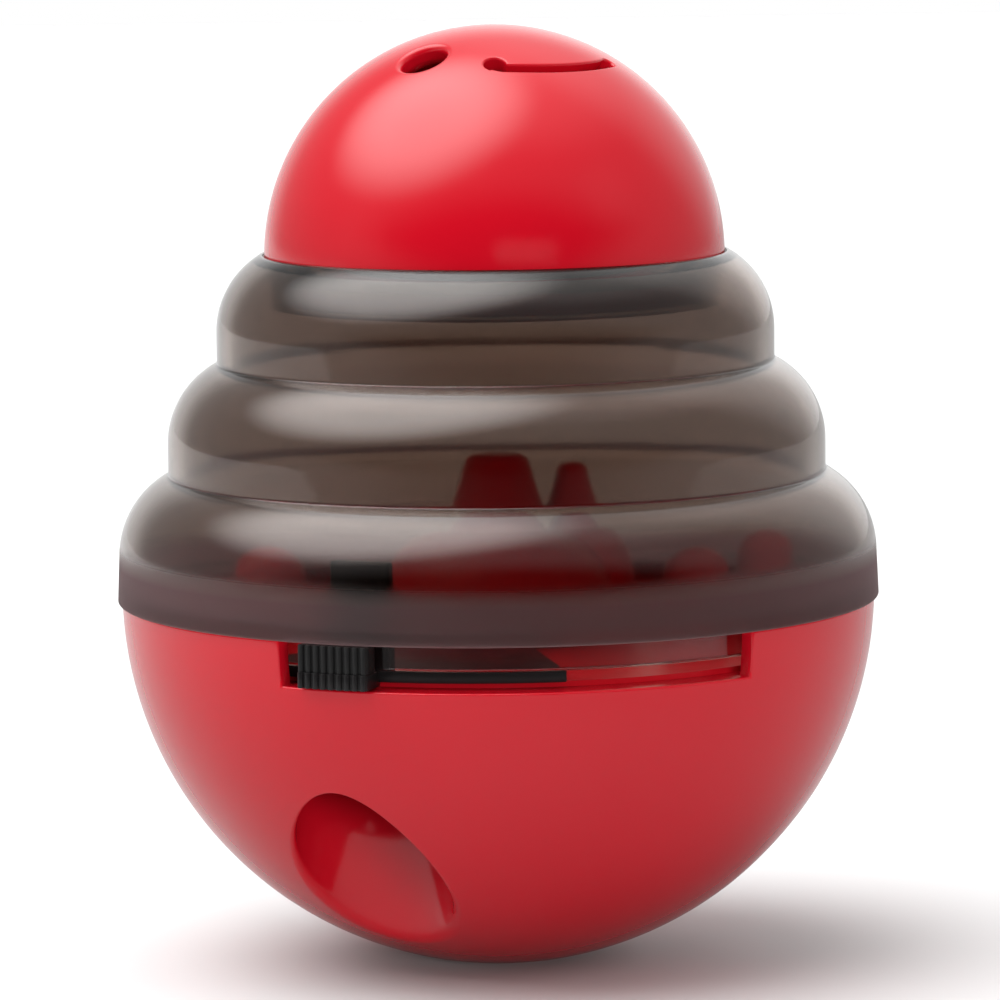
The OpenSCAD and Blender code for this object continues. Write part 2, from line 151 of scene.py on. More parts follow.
class WellSettings(PropertyGroup):
    count: IntProperty(name="Wells", description="Number of outlet wells", default=3, min=1)
    start: angle("First well", -31, "Angle of the first well from the front")
    place: length("Distance", 0.0379, "Distance of a well's axis from the bowl's axis")
    bore_r: length("Bore radius", 0.011, "Radius of a well's bore")
    tube_r: length("Tube radius", 0.0128, "Outer radius of a well's tube")
    tube_z: length("Tube top", 0.031907, "Height of the tube's top")
    crisp_r: length("Crisp edge", 0.00028, "Rounding of the mouth's edge at its top")
    soft_r: length("Soft edge", 0.0022, "Rounding of the mouth's edge low on the bowl")
    margin: length("Margin", 0.00055, "Width of the band that joins a mouth to the bowl")
    steps: IntProperty(name="Steps", description="Steps round a mouth", default=180, min=24)


class DomeSettings(PropertyGroup):
    foot_z: length("Foot height", 0.101817, "Height of the dome's foot and middle")
    outer_r: length("Outer radius", 0.0331, "Outer radius of the dome")
    inner_r: length("Inner radius", 0.0303, "Inner radius of the dome")
    spigot_r: length("Spigot radius", 0.0299, "Outer radius of the spigot")
    spigot_in: length("Spigot bore", 0.0274, "Inner radius of the spigot")
    spigot_h: length("Spigot depth", 0.0064, "Depth of the spigot below the dome's foot")
    groove_z: length("Groove depth", 0.0026, "Depth of the seal's groove below the dome's foot")
    groove_h: length("Groove width", 0.00174, "Width of the seal's groove")
    groove_r: length("Groove radius", 0.02846, "Radius of the bottom of the seal's groove")
    groove_edge: length("Groove edge", 0.0001, "Rounding of the seal's groove")
    spigot_edge: length("Spigot edge", 0.0003, "Rounding of the spigot's inner edges")
    lead_in: length("Lead-in", 0.0005, "Rounding of the spigot's lower outer edge")
    ledge_h: length("Ledge height", 0.0028, "Height of the ledge inside, over the dome's foot")
    skin_z: length("Skin foot", 0.0006, "Height over the foot from which the skin is a true ball")
    foot_edge: length("Foot edge", 0.00025, "Rounding of the dome's foot")
    hole_r: length("Hole radius", 0.0033, "Radius of the round hole")
    hole_tilt: angle("Hole tilt", 28.6, "Tilt of the round hole from the upright axis")
    hole_az: angle("Hole angle", -41.2, "Angle of the round hole from the front")
    hole_edge: length("Hole edge", 0.0009, "Rounding of the round hole's edge")
    hole_margin: length("Hole margin", 0.0004, "Width of the band that joins the hole to the dome")
    slot_tilt: angle("Slot tilt", 33, "Tilt of the curved slot from the upright axis")
    slot_w: length("Slot width", 0.0016, "Width of the curved slot")
    slot_start: angle("Slot start", -2, "Angle of the slot's left end")
    slot_stop: angle("Slot stop", 64, "Angle of the slot's right end")
    slot_edge: length("Slot edge", 0.00035, "Rounding of the slot's edges")
    slot_margin: length("Slot margin", 0.00035, "Width of the band that joins the slot to the dome")
    bulb_r: length("Bulb radius", 0.0015, "Radius of the slot's round left end")
    bulb_tilt: angle("Bulb tilt", 31.4, "Tilt of the slot's round left end")
    tail_r: length("Tail radius", 0.0009, "Radius of the slot's right end")
    slot_sag: angle("Slot sag", 0.9, "How far the slot sags between its ends")
    steps: IntProperty(name="Steps", description="Steps round the dome", default=360, min=60)


class ShellSettings(PropertyGroup):
    foot_z: length("Foot height", 0.052607, "Height of the skirt's foot on the bowl's rim")
    wall: length("Wall", 0.002, "Thickness of the shell")
    tiers: IntProperty(name="Tiers", description="Number of stepped tiers", default=3, min=1)
    tier_r: length("Tier radius", 0.05465, "Outer radius of the lowest tier")
    tier_step: length("Tier step", 0.00725, "Step in radius from tier to tier")
    tier_rise: length("Tier rise", 0.016, "Rise from tier to tier")
    tier_round: length("Shoulder radius", 0.01285, "Radius of a tier's round shoulder")
    skirt_h: length("Skirt height", 0.0066, "Height of the straight frosted skirt")
    flare: length("Flare", 0.000294, "How much wider the skirt is at its foot")
    collar_r: length("Collar radius", 0.0513, "Outer radius of the collar in the bowl")
    collar_t: length("Collar thickness", 0.0016, "Thickness of the collar")
    collar_h: length("Collar depth", 0.0038, "Depth of the collar below the skirt")
    web_h: length("Web", 0.0016, "Thickness of the web between skirt and collar")
    neck_r: length("Neck radius", 0.0302, "Bore of the neck that takes the dome")
    neck_h: length("Neck depth", 0.007, "Depth of the neck")
    lip_r: length("Lip radius", 0.0334, "Inner radius of the lip round the dome's foot")
    lip_z: length("Lip height", 0.102317, "Height of the lip's top")
    seat_z: length("Dome seat", 0.101817, "Height of the face under the dome's foot")
    flange_h: length("Flange height", 0.0025, "Height of the flange under the dome's foot")
    flange_r: length("Flange radius", 0.0337, "Radius at which the flange meets the top tier")
    edge_r: length("Edge rounding", 0.0003, "Rounding of the foot, the neck and the collar")
    lip_edge: length("Lip edge", 0.0001, "Rounding of the lip round the dome's foot")
    web_edge: length("Web rounding", 0.0006, "Rounding in the corner over the web")
    crease_r: length("Crease rounding", 0.00035, "Rounding of the crease between two tiers")
    crease_row: length("Crease row", 0.0014, "Height of the row of faces over a crease")
    steps: IntProperty(name="Steps", description="Steps round the shell", default=360, min=60)


class GateSettings(PropertyGroup):
    low_z: length("Plate underside", 0.047107, "Height of the gate plate's underside")
    top_z: length("Plate top", 0.048607, "Height of the gate plate's top")
    plate_r: length("Plate radius", 0.0504, "Outer radius of the gate plate")
    ring_r: length("Ring radius", 0.01668, "Outer radius of the ring on the deck's boss")
    bore_r: length("Ring bore", 0.01208, "Bore of the ring on the deck's boss")
    start: angle("Left edge", -47.5, "Angle of the gate's left edge")
    stop: angle("Right edge", 7.4, "Angle of the gate's right edge")
    grip_az: angle("Grip angle", -27.9, "Angle of the grip's middle")
    grip_span: angle("Grip span", 11.2, "Angle that the grip spans")
    lip_low: length("Lip underside", 0.046407, "Height of the lip's underside")
    lip_back: length("Lip back", 0.0495, "Radius of the lip's back face")
    lip_front: length("Lip front", 0.05475, "Radius of the lip's face between its ribs")
    pad_back: length("Pad back", 0.0516, "Radius of the pad's back face")
    pad_front: length("Pad front", 0.05455, "Radius of the pad's face between its ribs")
    pad_top: length("Pad top", 0.052407, "Height of the pad's top")
    rib_r: length("Rib radius", 0.00045, "Radius of a rib")
    ribs: IntProperty(name="Ribs", description="Number of ribs on the grip", default=9, min=2)
    finger_r: length("Finger radius", 0.0458, "Radius of the finger's outer face at its foot")
    finger_t: length("Finger thickness", 0.0028, "Thickness of the finger at its foot")
    finger_h: length("Finger height", 0.0142, "Height of the finger over the plate")
    finger_draft: length("Finger draft", 0.0004, "Slope of each face of the finger")
    finger_root: length("Finger root", 0.0005, "How deep the finger is set into the plate")
    finger_edge: length("Finger edge", 0.0004, "Rounding of the finger's edges")
    root: length("Plate root", 0.001, "How deep the plate is set into the ring")
    rib_edge: length("Rib edge", 0.0001, "Rounding of the ribs' ends")
    peg_r: length("Peg radius", 0.0008, "Radius of the pegs under the pad")
    peg_h: length("Peg height", 0.0014, "Height of the pegs under the pad")
    peg_z: length("Peg depth", 0.0005, "Depth of the pegs' middle below the plate's top")
    edge_r: length("Edge rounding", 0.00015, "Rounding of the gate's and the pad's edges")
    corner_r: length("Corner rounding", 0.0006, "Rounding of the gate's right lower edge")


class DeckSettings(PropertyGroup):
    low_z: length("Underside", 0.044907, "Height of the deck's underside")
    top_z: length("Top", 0.046907, "Height of the deck's top")
    outer_r: length("Radius", 0.0482, "Radius of the deck")
    pivot_r: length("Pivot radius", 0.012, "Radius of the boss that the gate turns on")
    pivot_z: length("Pivot top", 0.048807, "Height of that boss")
    bore_r: length("Bore", 0.0021, "Radius of the hole for the hub's screw")
    drop_place: length("Drop distance", 0.037, "Radius of the drop opening's middle line")
    drop_w: length("Drop half width", 0.009, "Half width of the drop opening")
    drop_start: angle("Drop start", -31, "Angle of the drop opening's left end")
    drop_stop: angle("Drop stop", -10, "Angle of the drop opening's right end")
    screw_place: length("Screw distance", 0.0452, "Distance of the deck's screws from the axis")
    screw_bore: length("Screw bore", 0.0015, "Radius of the holes for the deck's screws")
    hill_h: length("Hill height", 0.0152, "Height of the tallest hill")
    hill_root: length("Hill root", 0.001, "How deep the hills are set into the deck")
    pivot_root: length("Pivot root", 0.001, "How far the deck reaches into the pivot's boss")
    pivot_lift: length("Pivot lift", 0.0001, "Height of the boss's foot over the deck's underside")
    edge_r: length("Edge rounding", 0.00015, "Rounding of the top of the pivot's boss")
    steps: IntProperty(name="Steps", description="Steps round the deck", default=180, min=60)


class HubSettings(PropertyGroup):
    foot_z: length("Foot height", 0.048807, "Height of the hub's foot")
    foot_r: length("Foot radius", 0.0174, "Radius of the hub's mound at its foot")
    waist_r: length("Waist radius", 0.0069, "Radius of the hub where its peak meets the mound")
    top_r: length("Top radius", 0.0047, "Radius of the hub's top")
    height: length("Height", 0.0246, "Height of the hub's peak over its foot")
    mound: share("Mound share", 0.64, "Height of the mound as a share of the peak's")
    wall: length("Wall", 0.002, "Wall of the mound")
    core_r: length("Core radius", 0.0034, "Radius of the boss that takes the hub's screw")
    bore_r: length("Bore", 0.00175, "Radius of the hole for the hub's screw")
    peak_az: angle("Lesser peak angle", 107, "Angle of the lesser peak")
    peak_place: length("Lesser peak distance", 0.0116, "Distance of the lesser peak from the axis")
    peak_foot: length("Lesser peak foot", 0.0094, "Radius of the lesser peak at its foot")
    peak_waist: length("Lesser peak waist", 0.0038, "Radius of the lesser peak above its mound")
    peak_top: length("Lesser peak top", 0.0023, "Radius of the lesser peak's top")
    peak_h: length("Lesser peak height", 0.0226, "Height of the lesser peak")
    peak_mound: share("Lesser mound share", 0.7, "Height of the lesser peak's mound as a share")
    crown_r: length("Crown rounding", 0.0018, "Rounding of the peaks' tops")
    socket_h: length("Socket height", 0.007, "Depth of the hole for the hub's screw")
    peak_lift: length("Lesser peak lift", 0.0002, "Height of the lesser peak's foot over the hub's foot")


class FinishSettings(PropertyGroup):
    red: colour("Red", (0.50, 0.0038, 0.0130), "Colour of the bowl and the dome")
    red_flow: colour("Red flow", (0.48, 0.0034, 0.0120), "Colour that the red flows into")
    inner_red: colour("Inner red", (0.50, 0.006, 0.014), "Colour of the deck, the hub and the dish")
    inner_red_flow: colour("Inner red flow", (0.46, 0.005, 0.012), "Colour that the inner red flows into")
    black: colour("Black", (0.0065, 0.0058, 0.006), "Colour of the gate")
    black_flow: colour("Black flow", (0.0095, 0.0085, 0.009), "Colour that the black flows into")
    pad_shade: share("Pad shade", 0.006, "How pale the pad's rubber is")
    seal_shade: share("Seal shade", 0.02, "How pale the seal's rubber is")
    steel: colour("Steel", (0.50, 0.50, 0.51), "Colour of the weight and the screws")
    steel_stain: colour("Steel stain", (0.36, 0.36, 0.37), "Colour of the steel where it is stained")
    smoke: colour("Smoke", (0.34, 0.262, 0.222), "Colour of the clear smoke plastic")
    smoke_flow: colour("Smoke flow", (0.31, 0.24, 0.205), "Colour that the smoke plastic flows into")
    frost: colour("Frost", (0.20, 0.092, 0.10), "Colour of the frosted skirt")
    # Painted sheen: this paler colour on the collar stands in for the light that its clear plastic shows
    # below the skirt
    collar: colour("Collar", (0.62, 0.42, 0.42), "Colour of the collar below the skirt")
    shade: colour("Shade", (0.66, 0.63, 0.62), "Part of the lamps' light that the smoke lets through")


class StageSettings(PropertyGroup):
    camera_distance: length("Camera distance", 0.84493, "Distance of the camera from the axis")
    camera_az: angle("Camera angle", -3.1, "Angle of the camera from the front")
    camera_z: length("Camera height", 0.166164, "Height of the camera")
    pitch: angle("Pitch", 6.736, "How far the camera looks down")
    yaw: angle("Yaw", 0.026, "How far the camera looks to the right of the axis")
    roll: angle("Roll", 0.677, "How far the camera is rolled clockwise")
    lens: FloatProperty(name="Lens", description="Focal length in millimetres", default=212.02)
    floor_size: length("Floor size", 4.0, "Width of the floor")
    floor_front: length("Floor front", 0.27, "How far the floor reaches in front of the axis")
    # Painted light on the floor: the paper is paler at the left, where the key light falls, and darker at
    # the right
    paper_painted_lit_left: colour("Paper, left", (0.55, 0.55, 0.55), "Colour of the paper at the left")
    paper_painted_dim_right: colour("Paper, right", (0.37, 0.37, 0.37), "Colour of the paper at the right")
    paper_seen: colour("Paper seen", (0.64, 0.64, 0.64), "Colour of the paper as the camera sees it")
    lamp_aim: length("Lamp aim", 0.06, "Height on the axis that the lamps point at")


# Shared shapes

def polar(r, az, z):
    """A point at a radius, an angle from the front and a height."""
    return Vector((r * math.sin(az), -r * math.cos(az), z))


def arc(mid_r, mid_z, radius, start, stop, steps=12):
    """Points of an arc in a half section, its angles in degrees from straight outwards."""
    turn = [math.radians(start + (stop - start) * i / steps) for i in range(steps + 1)]
    return [(mid_r + radius * math.cos(t), mid_z + radius * math.sin(t)) for t in turn]


def section(*corners, steps=4):
    """A half section from corners: (r, z) is sharp and (r, z, rounding) is rounded."""
    points = []
    for i, corner in enumerate(corners):
        here = Vector(corner[:2])
        if len(corner) == 2:
            points.append(here)
            continue
        radius = corner[2]
        before = Vector(corners[i - 1][:2]) - here
        after = Vector(corners[(i + 1) % len(corners)][:2]) - here
        to_before, to_after = before.normalized(), after.normalized()
        half = to_before.angle(to_after) / 2
        reach = radius / math.tan(half)
        middle = here + (to_before + to_after).normalized() * radius / math.sin(half)
        first, last = here + to_before * reach, here + to_after * reach
        ways = (first - middle).normalized(), (last - middle).normalized()
        points.append(first + to_before * min(radius, before.length - reach) * 0.5)
        points += [middle + ways[0].slerp(ways[1], k / steps) * radius for k in range(steps + 1)]
        points.append(last + to_after * min(radius, after.length - reach) * 0.5)
    return points


def lathe(bm, points, start=0.0, stop=2 * math.pi, steps=360):
    """Turns a closed half section round the upright axis, by a full turn or by a part of one."""
    part, parts = bmesh.new(), 1
    while steps % 2 == 0 and steps > 12:
        steps, parts = steps // 2, parts * 2
    verts = [part.verts.new(polar(p[0], start, p[1])) for p in points]
    edges = [part.edges.new((verts[i - 1], verts[i])) for i in range(len(verts))]
    turn = (stop - start) / parts
    bmesh.ops.spin(part, geom=verts + edges, cent=(0, 0, 0), axis=(0, 0, 1), dvec=(0, 0, 0),
                   angle=turn, steps=steps, use_merge=False)
    while parts > 1:
        more = bmesh.ops.duplicate(part, geom=part.verts[:] + part.edges[:] + part.faces[:])["geom"]
        bmesh.ops.rotate(part, verts=[v for v in more if isinstance(v, bmesh.types.BMVert)], cent=(0, 0, 0),
                         matrix=Matrix.Rotation(turn, 3, "Z"))
        turn, parts = turn * 2, parts // 2
    bmesh.ops.remove_doubles(part, verts=part.verts[:], dist=WELD)
    add_mesh(bm, part)


def cap_ends(bm):
    """Closes the two flat ends of a part turn."""
    made = bmesh.ops.edgeloop_fill(bm, edges=[e for e in bm.edges if len(e.link_faces) == 1])["faces"]
    if len(made) != 2:
        raise RuntimeError("a part turn wasn't closed by two ends")


def add_mesh(bm, part):
    """Adds a finished part to a piece."""
    mesh = bpy.data.meshes.new("part")
    part.to_mesh(mesh)
    part.free()
    bm.from_mesh(mesh)
    bpy.data.meshes.remove(mesh)


def weld(bm):
    """Merges doubles and drops faces and edges without size."""
    bmesh.ops.remove_doubles(bm, verts=bm.verts[:], dist=WELD)
    bmesh.ops.dissolve_degenerate(bm, edges=bm.edges[:], dist=WELD)
    bmesh.ops.delete(bm, geom=[e for e in bm.edges if not e.link_faces], context="EDGES")
    bmesh.ops.delete(bm, geom=[v for v in bm.verts if not v.link_faces], context="VERTS")
    bmesh.ops.recalc_face_normals(bm, faces=bm.faces[:])


def round_edges(bm, edges, radius, segments=3):
    if not edges:
        raise RuntimeError("no edge was found to round")
    bmesh.ops.bevel(bm, geom=edges, offset=radius, offset_type="OFFSET", segments=segments,
                    profile=0.5, affect="EDGES", clamp_overlap=True, material=-1)


def sharp_edges(bm, degrees=30):
    limit = math.radians(degrees)
    return [e for e in bm.edges if len(e.link_faces) == 2 and e.calc_face_angle(0) > limit]


def frame_of(normal):
    """Two directions across a normal."""
    side = normal.orthogonal().normalized()
    return side, normal.cross(side).normalized()


def crosses(point, outline):
    """Whether a flat point lies inside a flat closed outline."""
    inside = False
    for i, here in enumerate(outline):
        last = outline[i - 1]
        if (here.y > point.y) != (last.y > point.y):
            if point.x < (last.x - here.x) * (point.y - here.y) / (last.y - here.y) + here.x:
                inside = not inside
    return inside


def open_skin(bm, middle, radius, outline, normal, margin):
    """Takes the faces of a round skin away inside an outline and returns the edges round the gap."""
    side, up = frame_of(normal)
    flat = [Vector((p.dot(side), p.dot(up))) for p in outline]
    centre = sum(flat, Vector((0, 0))) / len(flat)
    reach = max((p - centre).length for p in flat) + margin
    hit = {}

    def near(vert):
        if vert not in hit:
            here = Vector((vert.co.dot(side), vert.co.dot(up)))
            hit[vert] = ((here - centre).length < reach and (
                crosses(here, flat) or min((here - p).length for p in flat) < margin))
        return hit[vert]

    def on_skin(vert):
        out = vert.co - middle
        return out.dot(normal) > 0 and abs(out.length - radius) < 5 * WELD

    gone = {f for f in bm.faces if all(map(on_skin, f.verts)) and any(map(near, f.verts))}
    if not gone:
        raise RuntimeError("no skin was found to open")
    edges = {e for f in gone for e in f.edges if any(g not in gone for g in e.link_faces)}
    bmesh.ops.delete(bm, geom=list(gone), context="FACES")
    return list(edges)


def open_mouth(bm, middle, outer, inner, rows, normal, margin):
    """Joins a bore, given as closed rows of points from the outer skin to the inner one, to both skins."""
    gaps = [open_skin(bm, middle, outer, rows[0], normal, margin),
            open_skin(bm, middle, inner, rows[-1], normal, margin)]
    across, along = len(rows[0]), len(rows) - 1
    made = bmesh.ops.create_grid(bm, x_segments=across, y_segments=along, size=1)["verts"]
    ends = [[], []]
    for v in made:
        i, j = round((v.co.x + 1) / 2 * across), round((v.co.y + 1) / 2 * along)
        v.co = rows[j][i % across]
        if j in (0, along):
            ends[j > 0].append(v)
    kept = [v for end in ends for v in end]
    bmesh.ops.remove_doubles(bm, verts=kept, dist=WELD / 10)
    for gap, end in zip(gaps, ends):
        end = {v for v in end if v.is_valid}
        ring = [e for e in {e for v in end for e in v.link_edges}
                if e.verts[0] in end and e.verts[1] in end and len(e.link_faces) == 1]
        band = bmesh.ops.bridge_loops(bm, edges=gap + ring)["faces"]
        bmesh.ops.triangulate(bm, faces=band)


def bore_rows(axes, origin, off, radius, edge_of, outer, steps, turns=6):
    """Rows of a rounded mouth where a bore leaves a ball; axes has two ways across it and the way out."""
    side, up, out = axes
    rows = [[] for _ in range(turns + 1)]
    for i in range(steps):
        t = 2 * math.pi * i / steps
        away = side * math.cos(t) + up * math.sin(t)
        edge = edge_of(away)
        flat = off + away * (radius + edge)
        middle = flat + out * math.sqrt((outer - edge) ** 2 - flat.length_squared)
        first, last = middle.normalized(), -away
        for k in range(turns + 1):
            rows[k].append(origin + middle + edge * first.slerp(last, k / turns))
    return rows


def make_piece(bm, name, body, material, nodes=(), skins=(), smooth=32):
    """Makes the object, rides it on its body and lets it stand for its CAD nodes."""
    weld(bm)
    for f in bm.faces:
        f.smooth = True
    limit = math.radians(smooth)
    for e in bm.edges:
        e.smooth = len(e.link_faces) != 2 or e.calc_face_angle(0) < limit
    open_edges = sum(len(e.link_faces) != 2 for e in bm.edges)
    mesh = bpy.data.meshes.new(name)
    bm.to_mesh(mesh)
    bm.free()
    normals = [Vector((0, 0, 0)) for _ in mesh.vertices]
    for middle, radius, low in skins:
        for v in mesh.vertices:
            out = v.co - middle
            if v.co.z > low and abs(out.length - radius) < 3 * WELD:
                normals[v.index] = out.normalized()
    if skins:
        mesh.normals_split_custom_set_from_vertices(normals)
    mesh.materials.append(material)
    obj = bpy.data.objects.new(name, mesh)
    bpy.context.scene.collection.objects.link(obj)
    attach(obj, body)
    if nodes:
        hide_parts(*nodes)
    print("piece", name, len(mesh.polygons), "faces,", open_edges, "open edges")
    return obj


# Materials

class Nodes:
    """A node tree, with short ways to add nodes to it."""

    def __init__(self, tree):
        self.nodes, self.links = tree.nodes, tree.links

    def add(self, kind, **settings):
        node = self.nodes.new("ShaderNode" + kind)
        for name, value in settings.items():
            setattr(node, name, value)
        return node

    def feed(self, socket, value):
        """Links a socket to another one, or sets it to a plain value or colour."""
        if isinstance(value, bpy.types.NodeSocket):
            self.links.new(value, socket)
        elif socket.type == "RGBA":
            socket.default_value = (*value, 1)
        else:
            socket.default_value = value

    def coords(self):
        return self.add("TexCoord").outputs["Object"]

    def height(self):
        """The height of the point that is shaded."""
        split = self.add("SeparateXYZ")
        self.links.new(self.coords(), split.inputs[0])
        return split.outputs["Z"]

    def math(self, operation, *values):
        node = self.add("Math", operation=operation)
        for socket, value in zip(node.inputs, values):
            self.feed(socket, value)
        return node.outputs[0]

    def ranged(self, source, low, high, start=0.0, stop=1.0, way="LINEAR"):
        """Turns a value from start to stop into one from low to high."""
        node = self.add("MapRange", interpolation_type=way)
        for name, value in (("Value", source), ("From Min", start), ("From Max", stop),
                            ("To Min", low), ("To Max", high)):
            self.feed(node.inputs[name], value)
        return node.outputs["Result"]

    def mixed(self, factor, first, second):
        """A colour between two colours."""
        node = self.add("Mix", data_type="RGBA")
        for socket, value in ((0, factor), (6, first), (7, second)):
            self.feed(node.inputs[socket], value)
        return node.outputs[2]

    def noise(self, scale, detail=3.0, roughness=0.5):
        node = self.add("TexNoise")
        for name, value in (("Scale", scale), ("Detail", detail), ("Roughness", roughness),
                            ("Vector", self.coords())):
            self.feed(node.inputs[name], value)
        return node.outputs["Fac"]

    def bump(self, shader, height, strength, distance):
        node = self.add("Bump")
        for name, value in (("Height", height), ("Strength", strength), ("Distance", distance)):
            self.feed(node.inputs[name], value)
        self.links.new(node.outputs["Normal"], shader.inputs["Normal"])

    def by_ray(self, ray, chosen, others, output):
        """Puts one shader on one kind of ray and another on all others."""
        mix, path = self.add("MixShader"), self.add("LightPath")
        sources = path.outputs[ray], others.outputs[0], chosen.outputs[0]
        for socket, source in zip(mix.inputs, sources):
            self.links.new(source, socket)
        self.links.new(mix.outputs[0], self.nodes[output].inputs["Surface"])


def new_material(name):
    mat = bpy.data.materials.new(name)
    mat.use_nodes = True
    return mat, Nodes(mat.node_tree), mat.node_tree.nodes["Principled BSDF"]


def finishes():
    return bpy.context.scene.treat_ball_finish


def moulded_skin():
    """A group that gives moulded plastic its slight flow, its gloss and its fine grain."""
    tree = bpy.data.node_groups.get("Moulded skin")
    if tree:
        return tree
    tree = bpy.data.node_groups.new("Moulded skin", "ShaderNodeTree")
    for label in ("Gloss", "Spread"):
        tree.interface.new_socket(name=label, in_out="INPUT", socket_type="NodeSocketFloat")
    for label in ("Flow", "Roughness", "Height"):
        tree.interface.new_socket(name=label, in_out="OUTPUT", socket_type="NodeSocketFloat")
    group = Nodes(tree)
    given, out = tree.nodes.new("NodeGroupInput"), tree.nodes.new("NodeGroupOutput")
    scuff = group.ranged(group.noise(240, 4, 0.6), -0.5, 0.5, 0.3, 0.7)
    gloss = group.math("MULTIPLY_ADD", scuff, given.outputs["Spread"], given.outputs["Gloss"])
    flow, grain = group.noise(28, 2), group.noise(2600, 2)
    for label, source in (("Flow", flow), ("Roughness", gloss), ("Height", grain)):
        tree.links.new(source, out.inputs[label])
    return tree


def plastic(name, first, second, gloss, spread, grain=0.0, shine=0.5):
    """Opaque moulded plastic that flows slightly between two close colours."""
    mat = bpy.data.materials.get(name)
    if mat:
        return mat
    mat, tree, shader = new_material(name)
    skin = tree.add("Group", node_tree=moulded_skin())
    skin.inputs["Gloss"].default_value = gloss
    skin.inputs["Spread"].default_value = spread
    tree.links.new(skin.outputs["Roughness"], shader.inputs["Roughness"])
    if grain:
        tree.bump(shader, skin.outputs["Height"], grain, GRAIN_DEPTH)
    flow = tree.ranged(skin.outputs["Flow"], 0, 1, 0.35, 0.65)
    tree.links.new(tree.mixed(flow, first, second), shader.inputs["Base Color"])
    shader.inputs["IOR"].default_value = 1.5
    shader.inputs["Specular IOR Level"].default_value = shine
    return mat


def red_plastic():
    f = finishes()
    return plastic("Red gloss plastic", f.red, f.red_flow, gloss=0.16, spread=0.03)


def inner_red():
    f = finishes()
    return plastic("Red inner plastic", f.inner_red, f.inner_red_flow, gloss=0.34, spread=0.06, grain=0.15)


def black_plastic():
    f = finishes()
    return plastic("Black plastic", f.black, f.black_flow, gloss=0.36, spread=0.10, grain=0.3, shine=0.3)


def rubber(name, shade):
    """Dull rubber, a little warmer than grey."""
    first, second = (shade, shade * 0.96, shade * 0.97), (shade * 1.5, shade * 1.45, shade * 1.46)
    return plastic(name, first, second, gloss=0.52, spread=0.12, grain=0.5, shine=0.3)


def pad_rubber():
    return rubber("Pad rubber", finishes().pad_shade)


def steel(name, roughness):
    """Turned steel: fine rings round the upright axis."""
    mat = bpy.data.materials.get(name)
    if mat:
        return mat
    mat, tree, shader = new_material(name)
    flat = tree.add("VectorMath", operation="MULTIPLY")
    flat.inputs[1].default_value = (1, 1, 0)
    tree.links.new(tree.coords(), flat.inputs[0])
    far = tree.add("VectorMath", operation="LENGTH")
    tree.links.new(flat.outputs[0], far.inputs[0])
    rings = tree.add("TexNoise", noise_dimensions="1D")
    rings.inputs["Scale"].default_value = 2400
    tree.links.new(far.outputs["Value"], rings.inputs["W"])
    turned = tree.ranged(rings.outputs["Fac"], roughness - 0.06, roughness + 0.1)
    tree.links.new(turned, shader.inputs["Roughness"])
    stain = tree.mixed(tree.noise(60, 4), finishes().steel, finishes().steel_stain)
    tree.links.new(stain, shader.inputs["Base Color"])
    tree.bump(shader, rings.outputs["Fac"], 0.2, GRAIN_DEPTH)
    shader.inputs["Metallic"].default_value = 1.0
    return mat


def smoke_plastic(foot_z, skirt_h):
    """Clear smoke plastic: frosted on the skirt, with a painted sheen on the collar as a paler colour, and
    lamps shine through it.
    """
    mat = bpy.data.materials.get("Smoke clear plastic")
    if mat:
        return mat
    mat, tree, shader = new_material("Smoke clear plastic")
    f = finishes()
    z, skirt_z = tree.height(), foot_z + skirt_h
    over_foot = tree.ranged(z, 0, 1, foot_z - 0.0004, foot_z)
    under_top = tree.ranged(z, 1, 0, skirt_z - 0.0014, skirt_z + 0.0020)
    frost = tree.math("MULTIPLY", over_foot, under_top)
    mottle = tree.ranged(tree.noise(900, 4, 0.7), 0.97, 1.03, 0.3, 0.7)
    tree.links.new(tree.ranged(tree.math("MULTIPLY", frost, mottle), 0.08, 0.7), shader.inputs["Roughness"])
    smoke = tree.mixed(tree.noise(35, 2), f.smoke, f.smoke_flow)
    frosted = tree.mixed(frost, smoke, f.frost)
    # Painted sheen: below the skirt's foot the colour turns to the paler collar colour
    collar = tree.ranged(z, 1, 0, foot_z - 0.0004, foot_z)
    tree.links.new(tree.mixed(collar, frosted, f.collar), shader.inputs["Base Color"])
    tree.bump(shader, tree.noise(55, 1), 0.25, 0.0004)
    shader.inputs["Transmission Weight"].default_value = 1.0
    shader.inputs["IOR"].default_value = 1.49
    clear = tree.add("BsdfTransparent")
    clear.inputs["Color"].default_value = (*f.shade, 1)
    tree.by_ray("Is Shadow Ray", clear, shader, "Material Output")
    return mat


# Pieces

def sphere_r(radius, middle, z):
    """The radius of a ball's outline at a height."""
    return math.sqrt(radius ** 2 - (z - middle) ** 2)


def sphere_z(radius, middle, r):
    """The lower height of a ball's outline at a radius."""
    return middle - math.sqrt(radius ** 2 - r ** 2)


